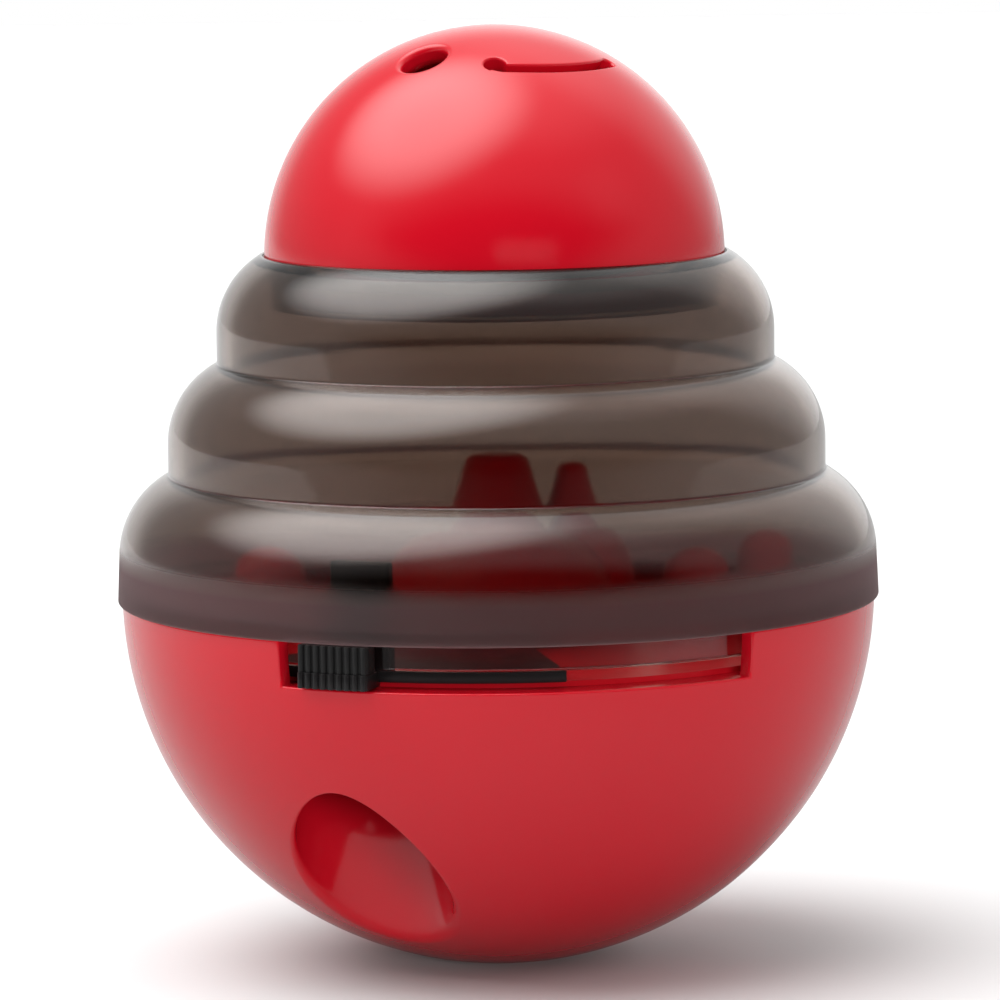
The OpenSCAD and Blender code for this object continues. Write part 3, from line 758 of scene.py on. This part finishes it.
def bowl_sections(s):
    """The bowl's half sections: its wall beside the window, and its low wall under the window."""
    mid = s.middle_z

    def turn(radius, z):
        return math.degrees(math.asin((z - mid) / radius))

    def outside(top):
        first, last = turn(s.outer_r, 0), turn(s.outer_r, top)
        return arc(0, mid, s.outer_r, first, last, round((last - first) * OUTSIDE_STEPS))

    def beside(radius, start, stop):
        return arc(0, mid, radius, turn(radius, start), turn(radius, stop), WINDOW_STEPS)

    slope_z = s.ledge_top - s.ledge_t
    taper_z = slope_z - s.ledge_taper
    # The slope under the ledge runs on until it meets the inside
    reach = s.ledge_r + (slope_z - taper_z)
    while sphere_r(s.inner_r, mid, taper_z) > reach + WELD:
        reach += SLOPE_STEP
        taper_z -= SLOPE_STEP
    seat = turn(s.inner_r, sphere_z(s.inner_r, mid, s.seat_r))
    inside = arc(0, mid, s.inner_r, turn(s.inner_r, taper_z), seat, INSIDE_STEPS)
    floor = [(s.seat_r, s.seat_z), (s.boss_r, s.seat_z), (s.boss_r, s.boss_z), (s.pilot_r, s.boss_z),
             (s.pilot_r, s.seat_z), (0, s.seat_z), (0, 0), (s.foot_r - s.foot_row, 0)]
    ledge = [(s.shelf_r, s.sill_z), (s.shelf_r, s.ledge_top), (s.ledge_r, s.ledge_top),
             (s.ledge_r, slope_z)]
    # The wall beside the window has the sill's height as one of its points
    below, above = outside(s.sill_z), beside(s.outer_r, s.sill_z, s.rim_z)
    sill = [(sphere_r(s.outer_r, mid, s.sill_z) - s.sill_row, s.sill_z),
            (sphere_r(s.inner_r, mid, s.sill_z), s.sill_z)]
    wall = below + above[1:] + beside(s.inner_r, s.rim_z, s.sill_z) + ledge + inside + floor
    return wall, below + sill + ledge + inside + floor


def well_rows(s, w, az):
    """Rows of a well: its rounded mouth, its bore, its tube's top and the foot of the tube."""
    middle, out, off = Vector((0, 0, s.middle_z)), Vector((0, 0, -1)), polar(w.place, az, 0)
    side = off.normalized()
    up = out.cross(side)

    def edge_of(away):
        blend = max(0.0, 1 - away.dot(side)) / 2
        return w.crisp_r + (w.soft_r - w.crisp_r) * blend ** 1.5

    rows = bore_rows((side, up, out), middle, off, w.bore_r, edge_of, s.outer_r, w.steps)
    tops = [[] for _ in range(5)]
    level = sphere_r(s.inner_r, s.middle_z, w.tube_z)
    for k in range(w.steps):
        t = 2 * math.pi * k / w.steps
        away = side * math.cos(t) + up * math.sin(t)
        near, far = off + away * w.bore_r, off + away * w.tube_r
        meet = sphere_z(s.inner_r, s.middle_z, near.length)
        top = max(w.tube_z, meet)
        rim = foot = near + Vector((0, 0, top))
        if meet < w.tube_z and level > far.length:
            rim = far + Vector((0, 0, w.tube_z))
            foot = far + Vector((0, 0, sphere_z(s.inner_r, s.middle_z, far.length)))
        elif meet < w.tube_z:
            step = off.dot(away)
            reach = -step + math.sqrt(step ** 2 + level ** 2 - off.length_squared)
            rim = foot = off + away * reach + Vector((0, 0, w.tube_z))
        low_z = rows[-1][k].z
        for row, share_up in zip(tops, (0.03, 0.5)):
            row.append(near + Vector((0, 0, low_z + (top - low_z) * share_up)))
        for row, point in zip(tops[2:], (near + Vector((0, 0, top)), rim, foot)):
            row.append(point)
    return rows + tops


def build_bowl(s, w):
    bm = bmesh.new()
    mid, half = s.middle_z, s.window_half
    wall, low_wall = bowl_sections(s)
    sill_out = sphere_r(s.outer_r, mid, s.sill_z)
    window_steps = round(s.steps * half / math.pi)
    lathe(bm, wall, half, 2 * math.pi - half, s.steps - window_steps)
    lathe(bm, low_wall, -half, half, window_steps)
    bmesh.ops.remove_doubles(bm, verts=bm.verts[:], dist=WELD * 3)
    bmesh.ops.edgeloop_fill(bm, edges=[e for e in bm.edges if len(e.link_faces) == 1])
    bmesh.ops.recalc_face_normals(bm, faces=bm.faces[:])

    def outer_edge(e):
        a, b = (v.co for v in e.verts)
        low_z = min(a.z, b.z)
        across = (abs(math.atan2(p.x, -p.y)) for p in (a, b))
        side = low_z > s.sill_z - WELD and all(abs(t - half) < 1e-4 for t in across)
        sill = all(abs(p.z - s.sill_z) < WELD and abs(p.xy.length - sill_out) < 3 * WELD for p in (a, b))
        return (low_z > s.rim_z - WELD or side or sill) and e.calc_face_angle(0) > 0.6 and e.is_convex

    round_edges(bm, [e for e in bm.edges if len(e.link_faces) == 2 and outer_edge(e)], s.edge_r)
    middle = Vector((0, 0, mid))
    turns = [w.start + i * 2 * math.pi / w.count for i in range(w.count)]
    for az in turns:
        rows = well_rows(s, w, az)
        open_mouth(bm, middle, s.outer_r, s.inner_r, rows, Vector((0, 0, -1)), w.margin)
    weld(bm)
    for az in turns:
        post(bm, s, s.dish_post, az + math.pi / w.count, None, w.tube_z)
    for az in DECK_SCREWS:
        post(bm, s, s.deck_post, math.radians(az), s.ledge_top - s.post_h, s.ledge_top - s.post_gap)
    return make_piece(bm, "bowl_skin", "base", red_plastic(), ["bowl"],
                      [(middle, s.outer_r, WELD)])


def post(bm, s, distance, az, foot, top):
    """A round boss for a screw; without a foot height it stands in the middle of the bowl's wall."""
    verts = bmesh.ops.create_cone(bm, cap_ends=True, segments=48, radius1=s.post_r, radius2=s.post_r,
                                  depth=1.0)["verts"]
    for v in verts:
        low = v.co.z < 0
        v.co.xy += polar(distance, az, 0).xy
        root = sphere_z((s.outer_r + s.inner_r) / 2, s.middle_z, v.co.xy.length)
        v.co.z = top if not low else (root if foot is None else foot)


def build_dome(s):
    bm = bmesh.new()
    z, mid = s.foot_z, Vector((0, 0, s.foot_z))
    ledge, foot, groove = s.foot_z + s.ledge_h, s.foot_z - s.spigot_h, s.foot_z - s.groove_z
    groove_low, groove_top = groove - s.groove_h / 2, groove + s.groove_h / 2
    inside = arc(0, z, s.inner_r, 90, math.degrees(math.asin(s.ledge_h / s.inner_r)), 84)
    points = section(
        (s.outer_r, z, s.foot_edge), *arc(0, z, s.outer_r, 2, 90, 96), *inside,
        (s.spigot_in, ledge, s.spigot_edge), (s.spigot_in, foot, s.spigot_edge),
        (s.spigot_r, foot, s.lead_in), (s.spigot_r, groove_low, s.groove_edge), (s.groove_r, groove_low),
        (s.groove_r, groove_top), (s.spigot_r, groove_top, s.groove_edge), (s.spigot_r, z))
    lathe(bm, points, steps=s.steps)
    weld(bm)

    out = polar(math.sin(s.hole_tilt), s.hole_az, math.cos(s.hole_tilt))
    side, up = frame_of(out)
    rows = bore_rows((side, up, out), mid, Vector(), s.hole_r, lambda away: s.hole_edge, s.outer_r, 120, 8)
    depth = math.sqrt(s.inner_r ** 2 - s.hole_r ** 2)
    mouth = [p - mid for p in rows[-1]]
    rows += wall_rows(mid, rows[-1], [p - out * (p.dot(out) - depth) for p in mouth])
    open_mouth(bm, mid, s.outer_r, s.inner_r, rows, out, s.hole_margin)
    rows, out = slot_rows(s, mid)
    open_mouth(bm, mid, s.outer_r, s.inner_r, rows, out, s.slot_margin)
    return make_piece(bm, "dome_cap", "dome", red_plastic(), ["dome"],
                      [(mid, s.outer_r, z + s.skin_z)])


def wall_rows(mid, row, ends, steps=(0.06, 0.5, 1.0)):
    """Rows down a bore's wall, from a row to its ends on the inner skin."""
    return [[p.lerp(mid + e, t) for p, e in zip(row, ends)] for t in steps]


def slot_outline(s, count=72):
    """Points along both sides and round both ends of the slot, each with its way across and its width."""
    def on_ball(tilt, az):
        return polar(math.sin(tilt), az, math.cos(tilt))

    line, widths = [], []
    thin = s.slot_w / 2
    for i in range(count + 1):
        t = i / count
        az = s.slot_start + (s.slot_stop - s.slot_start) * t
        bulb = math.exp(-((t / BULB_SHARE) ** 2))
        tail = math.exp(-(((1 - t) / TAIL_SHARE) ** 2))
        sag = s.slot_sag * math.sin(math.pi * t)
        line.append(on_ball(s.slot_tilt + sag + (s.bulb_tilt - s.slot_tilt) * bulb, az))
        widths.append(thin + (s.bulb_r - thin) * bulb ** 0.8 + (s.tail_r - thin) * tail)
    across = []
    for i, here in enumerate(line):
        ahead = (line[min(i + 1, count)] - line[max(i - 1, 0)]).normalized()
        across.append(here.cross(ahead).normalized())
    there = list(zip(line, across, widths))
    back = [(here, -side, width) for here, side, width in reversed(there)]

    def cap(end, turns):
        here, side, width = end
        turned = [Matrix.Rotation(-math.pi * k / turns, 3, here) for k in range(1, turns)]
        return [(here, turn @ side, width) for turn in turned]

    return there + cap(there[-1], 12) + back + cap(back[-1], 16), on_ball(
        s.slot_tilt, (s.slot_start + s.slot_stop) / 2)


def slot_rows(s, mid, turns=5):
    """Rows of the curved slot, rounded at the skin."""
    outline, out = slot_outline(s)
    edge = s.slot_edge
    rows, ends = [[] for _ in range(turns + 1)], []
    for here, across, width in outline:
        lean = (width + edge) / (s.outer_r - edge)
        radial = (here * math.cos(lean) + across * math.sin(lean)).normalized()
        inward = -(across * math.cos(lean) - here * math.sin(lean)).normalized()
        middle = radial * (s.outer_r - edge)
        for k in range(turns + 1):
            rows[k].append(mid + middle + edge * radial.slerp(inward, k / turns))
        ends.append((middle + edge * inward).normalized() * s.inner_r)
    return rows + wall_rows(mid, rows[-1], ends), out


def build_shell(s):
    bm = bmesh.new()
    low = s.foot_z + s.skirt_h
    mids = [(s.tier_r - i * s.tier_step - s.tier_round, low + i * s.tier_rise) for i in range(s.tiers)]
    inner = s.tier_round - s.wall
    meet = math.degrees(math.acos((s.tier_round - s.tier_step) / s.tier_round))
    meet_in = math.degrees(math.acos((inner - s.tier_step) / inner))
    outline = [(s.tier_r + s.flare, s.foot_z, s.edge_r), (s.tier_r, low)]
    for r, z in mids[:-1]:
        crease_r, crease_z = r + s.tier_round - s.tier_step, z + s.tier_round * math.sin(math.radians(meet))
        outline += arc(r, z, s.tier_round, 0, meet, TIER_STEPS)[:-1]
        outline += [(crease_r, crease_z, s.crease_r), (crease_r, crease_z + s.crease_row)]
    r, z = mids[-1]
    top, top_in = math.asin((s.lip_z - z) / s.tier_round), math.acos((s.flange_r - r) / inner)
    outline += arc(r, z, s.tier_round, 0, math.degrees(top), TIER_STEPS)
    neck_out, neck_foot, flange = s.neck_r + s.wall, s.seat_z - s.neck_h, s.seat_z - s.flange_h
    outline += [(s.lip_r, s.lip_z, s.lip_edge), (s.lip_r, s.seat_z), (s.neck_r, s.seat_z, s.edge_r),
                (s.neck_r, neck_foot, s.edge_r), (neck_out, neck_foot, s.edge_r), (neck_out, flange),
                (s.flange_r, flange)]
    outline += arc(r, z, inner, math.degrees(top_in), 0, TIER_STEPS)
    for r, z in reversed(mids[:-1]):
        outline += arc(r, z, inner, meet_in, 0, TIER_STEPS)
    web = s.foot_z + s.web_h
    collar_in, collar_z = s.collar_r - s.collar_t, s.foot_z - s.collar_h
    outline += [(s.tier_r - s.wall, web, s.web_edge), (collar_in, web, s.edge_r),
                (collar_in, collar_z, s.edge_r), (s.collar_r, collar_z, s.edge_r),
                (s.collar_r, s.foot_z, s.edge_r)]
    lathe(bm, section(*outline), steps=s.steps)
    material = smoke_plastic(s.foot_z, s.skirt_h)
    return make_piece(bm, "smoke_shell", "shell", material, ["shell"])


def sector(bm, corners, az, span, steps=24):
    """A part turn of a half section, closed at both ends."""
    lathe(bm, section(*corners), az - span / 2, az + span / 2, steps)
    cap_ends(bm)


def block(bm, inner, outer, low, top, az, span, radius, segments=2, slope=0.0):
    """Adds a curved block between two radii and two heights, its edges rounded."""
    part = bmesh.new()
    sector(part, ((inner, low), (outer, low), (outer - slope, top), (inner + slope, top)), az, span)
    weld(part)
    round_edges(part, sharp_edges(part, 50), radius, segments)
    add_mesh(bm, part)


def ribs(bm, s, front, low, top):
    """Upright half-round ribs along the grip's face."""
    for i in range(s.ribs):
        az = s.grip_az + s.grip_span * ((i + 0.5) / s.ribs - 0.5)
        made = bmesh.ops.create_cone(bm, cap_ends=True, segments=24, radius1=s.rib_r, radius2=s.rib_r,
                                     depth=top - low)["verts"]
        bmesh.ops.translate(bm, verts=made, vec=polar(front, az, (top + low) / 2))
        around = {e for v in made for e in v.link_edges}
        round_edges(bm, [e for e in around if abs(e.verts[0].co.z - e.verts[1].co.z) < WELD], s.rib_edge, 2)


def build_gate(s):
    bm = bmesh.new()
    lathe(bm, section((s.ring_r, s.low_z, s.edge_r), (s.ring_r, s.top_z, s.edge_r),
                      (s.bore_r, s.top_z, s.edge_r), (s.bore_r, s.low_z, s.edge_r)), steps=120)
    plate, root = bmesh.new(), s.ring_r - s.root
    sector(plate, ((root, s.low_z), (s.plate_r, s.low_z), (s.plate_r, s.top_z), (root, s.top_z)),
           (s.start + s.stop) / 2, s.stop - s.start, 72)
    weld(plate)

    def right_low(e):
        return all(abs(math.atan2(v.co.x, -v.co.y) - s.stop) < 1e-4 and abs(v.co.z - s.low_z) < WELD
                   for v in e.verts)

    round_edges(plate, [e for e in plate.edges if right_low(e)], s.corner_r, 4)
    round_edges(plate, sharp_edges(plate, 50), s.edge_r, 2)
    add_mesh(bm, plate)
    block(bm, s.lip_back, s.lip_front, s.lip_low, s.top_z, s.grip_az, s.grip_span, s.edge_r)
    ribs(bm, s, s.lip_front, s.lip_low, s.top_z)
    block(bm, s.finger_r - s.finger_t, s.finger_r, s.top_z - s.finger_root, s.top_z + s.finger_h,
          s.grip_az, s.grip_span, s.finger_edge, 3, s.finger_draft)
    return make_piece(bm, "sliding_gate", "gate", black_plastic(), ["gate_plate"])


def build_pad(s):
    bm = bmesh.new()
    block(bm, s.pad_back, s.pad_front, s.top_z, s.pad_top, s.grip_az, s.grip_span, s.edge_r)
    ribs(bm, s, s.pad_front, s.top_z, s.pad_top)
    for turn in PEG_SHARES:
        made = bmesh.ops.create_cone(bm, cap_ends=True, segments=32, radius1=s.peg_r, radius2=s.peg_r,
                                     depth=s.peg_h)["verts"]
        bmesh.ops.translate(bm, verts=made, vec=polar(
            (s.pad_back + s.pad_front) / 2, s.grip_az + turn * s.grip_span, s.top_z - s.peg_z))
    return make_piece(bm, "ribbed_thumb_pad", "gate", pad_rubber(), ["thumb_pad"])


def circle(middle, radius, steps):
    return [middle + polar(radius, 2 * math.pi * i / steps, 0) for i in range(steps)]


def drop_outline(s, steps=24):
    """The curved drop opening, with round ends."""
    span = s.drop_stop - s.drop_start
    outline = [polar(s.drop_place + s.drop_w, s.drop_start + span * i / steps, 0) for i in range(steps)]
    outline += [polar(s.drop_place, s.drop_stop, 0) + polar(s.drop_w, s.drop_stop + math.pi * i / steps, 0)
                for i in range(steps)]
    outline += [polar(s.drop_place - s.drop_w, s.drop_stop - span * i / steps, 0) for i in range(steps)]
    left = s.drop_start + math.pi
    return outline + [polar(s.drop_place, s.drop_start, 0) + polar(s.drop_w, left + math.pi * i / steps, 0)
                      for i in range(steps)]


def build_deck(s):
    bm = bmesh.new()
    outer = bmesh.ops.create_circle(bm, cap_ends=False, segments=s.steps, radius=s.outer_r)["verts"]
    holes = [drop_outline(s)]
    holes += [circle(polar(s.screw_place, math.radians(az), 0), s.screw_bore, 24) for az in DECK_SCREWS]
    holes.append(circle(Vector(), s.pivot_r - s.pivot_root, 90))
    edges = list({e for v in outer for e in v.link_edges})
    for hole in holes:
        verts = [bm.verts.new(p) for p in hole]
        edges += [bm.edges.new((verts[i - 1], verts[i])) for i in range(len(verts))]
    bmesh.ops.translate(bm, verts=bm.verts[:], vec=(0, 0, s.low_z))
    bmesh.ops.triangle_fill(bm, use_beauty=True, use_dissolve=False, normal=(0, 0, 1), edges=edges)
    top = bmesh.ops.extrude_face_region(bm, geom=bm.faces[:])["geom"]
    lifted = [v for v in top if isinstance(v, bmesh.types.BMVert)]
    bmesh.ops.translate(bm, verts=lifted, vec=(0, 0, s.top_z - s.low_z))
    weld(bm)
    foot = s.low_z + s.pivot_lift
    lathe(bm, section((s.pivot_r, foot), (s.pivot_r, s.pivot_z, s.edge_r),
                      (s.bore_r, s.pivot_z, s.edge_r), (s.bore_r, foot)), steps=120)
    for az, place_share, foot_share, top_share, height_share in HILLS:
        foot, top = s.outer_r * foot_share, s.outer_r * top_share
        crown = arc(0, s.top_z + s.hill_h * height_share - top, top, 0, 90, 14)
        base = s.top_z - s.hill_root
        hill = bmesh.new()
        lathe(hill, section((0, base), (foot, base), *crown), steps=72)
        place = polar(s.outer_r * place_share, math.radians(az), 0)
        bmesh.ops.translate(hill, verts=hill.verts[:], vec=place)
        add_mesh(bm, hill)
    return make_piece(bm, "hill_deck", "base", inner_red(), ["deck"])


def mound(waist, foot, high, base):
    """The hollow curve from a mound's foot up to its peak's waist."""
    turn = [math.radians(a) for a in range(0, 91, 6)]
    return [(waist + (foot - waist) * math.cos(t), base + high * math.sin(t)) for t in turn]


def build_hub(s):
    bm = bmesh.new()
    z, high, roof = s.foot_z, s.height * s.mound, s.foot_z + s.socket_h
    crown = arc(s.top_r - s.crown_r, z + s.height - s.crown_r, s.crown_r, 0, 90, 8)
    under = mound(s.waist_r - s.wall, s.foot_r - s.wall, high - s.wall, z)
    lathe(bm, section(*mound(s.waist_r, s.foot_r, high, z), *crown, (0, z + s.height), (0, roof),
                      (s.bore_r, roof), (s.bore_r, z), (s.core_r, z), (s.core_r, z + high - s.wall),
                      *reversed(under)), steps=180)
    peak = bmesh.new()
    foot, top = z + s.peak_lift, z + s.peak_h
    crown = arc(s.peak_top - s.crown_r, top - s.crown_r, s.crown_r, 0, 90, 8)
    lathe(peak, section(*mound(s.peak_waist, s.peak_foot, s.peak_h * s.peak_mound, foot), *crown, (0, top),
                        (0, foot)), steps=120)
    bmesh.ops.translate(peak, verts=peak.verts[:], vec=polar(s.peak_place, s.peak_az, 0))
    add_mesh(bm, peak)
    return make_piece(bm, "twin_peak_hub", "base", inner_red(), ["hub"])


def build_fittings():
    """Finer copies of the pieces inside: welded, their edges rounded and their curves smooth."""
    materials = {
        "red_plastic": inner_red(),
        "weight_steel": steel("Weight steel", 0.34),
        "screw_steel": steel("Screw steel", 0.24),
        "seal_rubber": rubber("Seal rubber", finishes().seal_shade),
    }
    for node, name, body, slot, radius in FITTINGS:
        bm = bmesh.new()
        bm.from_mesh(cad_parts[node].data)
        bm.transform(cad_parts[node].matrix_world)
        weld(bm)
        if radius:
            bmesh.ops.dissolve_limit(bm, angle_limit=FLAT, verts=bm.verts[:], edges=bm.edges[:])
            round_edges(bm, sharp_edges(bm, 35), radius, segments=2)
        make_piece(bm, name, body, materials[slot], [node])


# Stage

def build_floor(s):
    """Pale paper under the ball, white to the camera, with painted light: paler at the left, where the key
    light falls.
    """
    bm = bmesh.new()
    bmesh.ops.create_grid(bm, x_segments=1, y_segments=1, size=s.floor_size / 2)
    bmesh.ops.translate(bm, verts=bm.verts[:], vec=(0, s.floor_size / 2 - s.floor_front, 0))
    mesh = bpy.data.meshes.new("studio_floor")
    bm.to_mesh(mesh)
    bm.free()
    mat, tree, shader = new_material("Studio paper")
    split = tree.add("SeparateXYZ")
    tree.links.new(tree.coords(), split.inputs[0])
    grain = tree.math("MULTIPLY", tree.noise(3, 2), 0.1)
    # Painted light: the colour goes from the pale left to the darker right as the key light falls, with a
    # faint random grain
    painted_light_falloff = tree.math("ADD", tree.ranged(split.outputs["X"], 0, 0.95, -0.3, 0.1), grain)
    painted_light_sheet = tree.mixed(painted_light_falloff, s.paper_painted_lit_left, s.paper_painted_dim_right)
    seen = tree.add("LightPath").outputs["Is Camera Ray"]
    tree.links.new(tree.mixed(seen, painted_light_sheet, s.paper_seen), shader.inputs["Base Color"])
    shader.inputs["Roughness"].default_value = 0.9
    shader.inputs["Specular IOR Level"].default_value = 0.1
    mesh.materials.append(mat)
    floor = bpy.data.objects.new("studio_floor", mesh)
    bpy.context.scene.collection.objects.link(floor)


def build_camera(s):
    scene = bpy.context.scene
    data = bpy.data.cameras.new("studio_camera")
    data.lens, data.sensor_width = s.lens, 36
    data.clip_start, data.clip_end = 0.01, 50
    camera = bpy.data.objects.new("studio_camera", data)
    camera.location = polar(s.camera_distance, s.camera_az, s.camera_z)
    turn = Matrix.Rotation(s.camera_az - s.yaw, 4, "Z")
    tilt = Matrix.Rotation(math.pi / 2 - s.pitch, 4, "X")
    camera.rotation_euler = (turn @ tilt @ Matrix.Rotation(-s.roll, 4, "Z")).to_euler()
    scene.collection.objects.link(camera)
    scene.camera = camera


def build_lamps(s):
    """Soft lamps that light the ball and aren't mirrored in it."""
    for name, where, size, power in LAMPS:
        data = bpy.data.lights.new(name, "AREA")
        data.shape, data.size, data.size_y, data.energy = "RECTANGLE", *size, power
        lamp = bpy.data.objects.new(name, data)
        lamp.location = where
        lamp.visible_glossy = lamp.visible_transmission = False
        back = Vector(where) - Vector((0, 0, s.lamp_aim))
        lamp.rotation_euler = back.to_track_quat("Z", "Y").to_euler()
        bpy.context.scene.collection.objects.link(lamp)


def build_surroundings():
    """White behind the ball; round it pale walls, a dark room in front and soft boxes over it."""
    world = bpy.data.worlds.new("Studio")
    bpy.context.scene.world = world
    world.use_nodes = True
    tree = Nodes(world.node_tree)
    seen, around = tree.nodes["Background"], tree.add("Background")
    for background in (seen, around):
        background.inputs["Color"].default_value = (1, 1, 1, 1)
    seen.inputs["Strength"].default_value = 1.0
    ways = tree.add("TexCoord").outputs["Generated"]

    def facing(toward):
        dot = tree.add("VectorMath", operation="DOT_PRODUCT")
        dot.inputs[1].default_value = toward
        tree.links.new(ways, dot.inputs[0])
        return dot.outputs["Value"]

    off_level = tree.math("ABSOLUTE", tree.math("SUBTRACT", facing((0, 0, 1)), 0.2))
    front = tree.math("SUBTRACT", facing((0, -1, 0)), tree.math("MULTIPLY", off_level, 1.2))
    light = tree.ranged(front, 0.43, 0.0, 0.05, 0.75, "SMOOTHSTEP")
    for toward, start, stop, strength in SOFT_BOXES:
        box = tree.ranged(facing(toward), 0.0, strength, start, stop, "SMOOTHSTEP")
        light = tree.math("ADD", light, box)
    tree.links.new(light, around.inputs["Strength"])
    tree.by_ray("Is Camera Ray", seen, around, "World Output")


def build_stage(s):
    bpy.context.scene.view_settings.view_transform = "Standard"
    build_floor(s)
    build_camera(s)
    build_lamps(s)
    build_surroundings()


# Operators

class TREATBALL_OT_bowl(Operator):
    """Build the round bowl with its window and outlet wells"""
    bl_idname = "treat_ball.bowl"
    bl_label = "Bowl"

    def execute(self, context):
        build_bowl(context.scene.treat_ball_bowl, context.scene.treat_ball_wells)
        return {"FINISHED"}


class TREATBALL_OT_dome(Operator):
    """Build the dome with its round hole and curved slot"""
    bl_idname = "treat_ball.dome"
    bl_label = "Dome"

    def execute(self, context):
        build_dome(context.scene.treat_ball_dome)
        return {"FINISHED"}


class TREATBALL_OT_shell(Operator):
    """Build the smoke shell in its stepped tiers"""
    bl_idname = "treat_ball.shell"
    bl_label = "Shell"

    def execute(self, context):
        build_shell(context.scene.treat_ball_shell)
        return {"FINISHED"}


class TREATBALL_OT_gate(Operator):
    """Build the sliding gate and its ribbed thumb pad"""
    bl_idname = "treat_ball.gate"
    bl_label = "Gate and pad"

    def execute(self, context):
        build_gate(context.scene.treat_ball_gate)
        build_pad(context.scene.treat_ball_gate)
        return {"FINISHED"}


class TREATBALL_OT_deck(Operator):
    """Build the deck with its hills and the hub with its two peaks"""
    bl_idname = "treat_ball.deck"
    bl_label = "Deck and hub"

    def execute(self, context):
        build_deck(context.scene.treat_ball_deck)
        build_hub(context.scene.treat_ball_hub)
        return {"FINISHED"}


class TREATBALL_OT_fittings(Operator):
    """Build the dish, the counterweight, the screws and the seal"""
    bl_idname = "treat_ball.fittings"
    bl_label = "Inner fittings"

    def execute(self, context):
        build_fittings()
        return {"FINISHED"}


class TREATBALL_OT_stage(Operator):
    """Build the white studio, its lamps and its camera"""
    bl_idname = "treat_ball.stage"
    bl_label = "Studio"

    def execute(self, context):
        build_stage(context.scene.treat_ball_stage)
        return {"FINISHED"}


OPERATORS = (TREATBALL_OT_bowl, TREATBALL_OT_dome, TREATBALL_OT_shell, TREATBALL_OT_gate,
             TREATBALL_OT_deck, TREATBALL_OT_fittings, TREATBALL_OT_stage)


class TREATBALL_PT_panel(Panel):
    bl_label = "Treat Ball"
    bl_idname = "TREATBALL_PT_panel"
    bl_space_type = "VIEW_3D"
    bl_region_type = "UI"
    bl_category = "Treat Ball"

    def draw(self, context):
        for cls in OPERATORS:
            self.layout.operator(cls.bl_idname)


SETTINGS = {
    "treat_ball_bowl": BowlSettings, "treat_ball_wells": WellSettings, "treat_ball_dome": DomeSettings,
    "treat_ball_shell": ShellSettings, "treat_ball_gate": GateSettings, "treat_ball_deck": DeckSettings,
    "treat_ball_hub": HubSettings, "treat_ball_finish": FinishSettings, "treat_ball_stage": StageSettings,
}


def register():
    for cls in (*SETTINGS.values(), *OPERATORS, TREATBALL_PT_panel):
        bpy.utils.register_class(cls)
    for name, cls in SETTINGS.items():
        setattr(bpy.types.Scene, name, PointerProperty(type=cls))


def unregister():
    for name in SETTINGS:
        delattr(bpy.types.Scene, name)
    for cls in (TREATBALL_PT_panel, *reversed(OPERATORS), *reversed(SETTINGS.values())):
        bpy.utils.unregister_class(cls)


def corners(box):
    return [list(corner) for corner in box]


def main():
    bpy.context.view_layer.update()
    register()
    for cls in OPERATORS:
        group, name = cls.bl_idname.split(".")
        getattr(getattr(bpy.ops, group), name)()


if __name__ == "__main__":
    main()
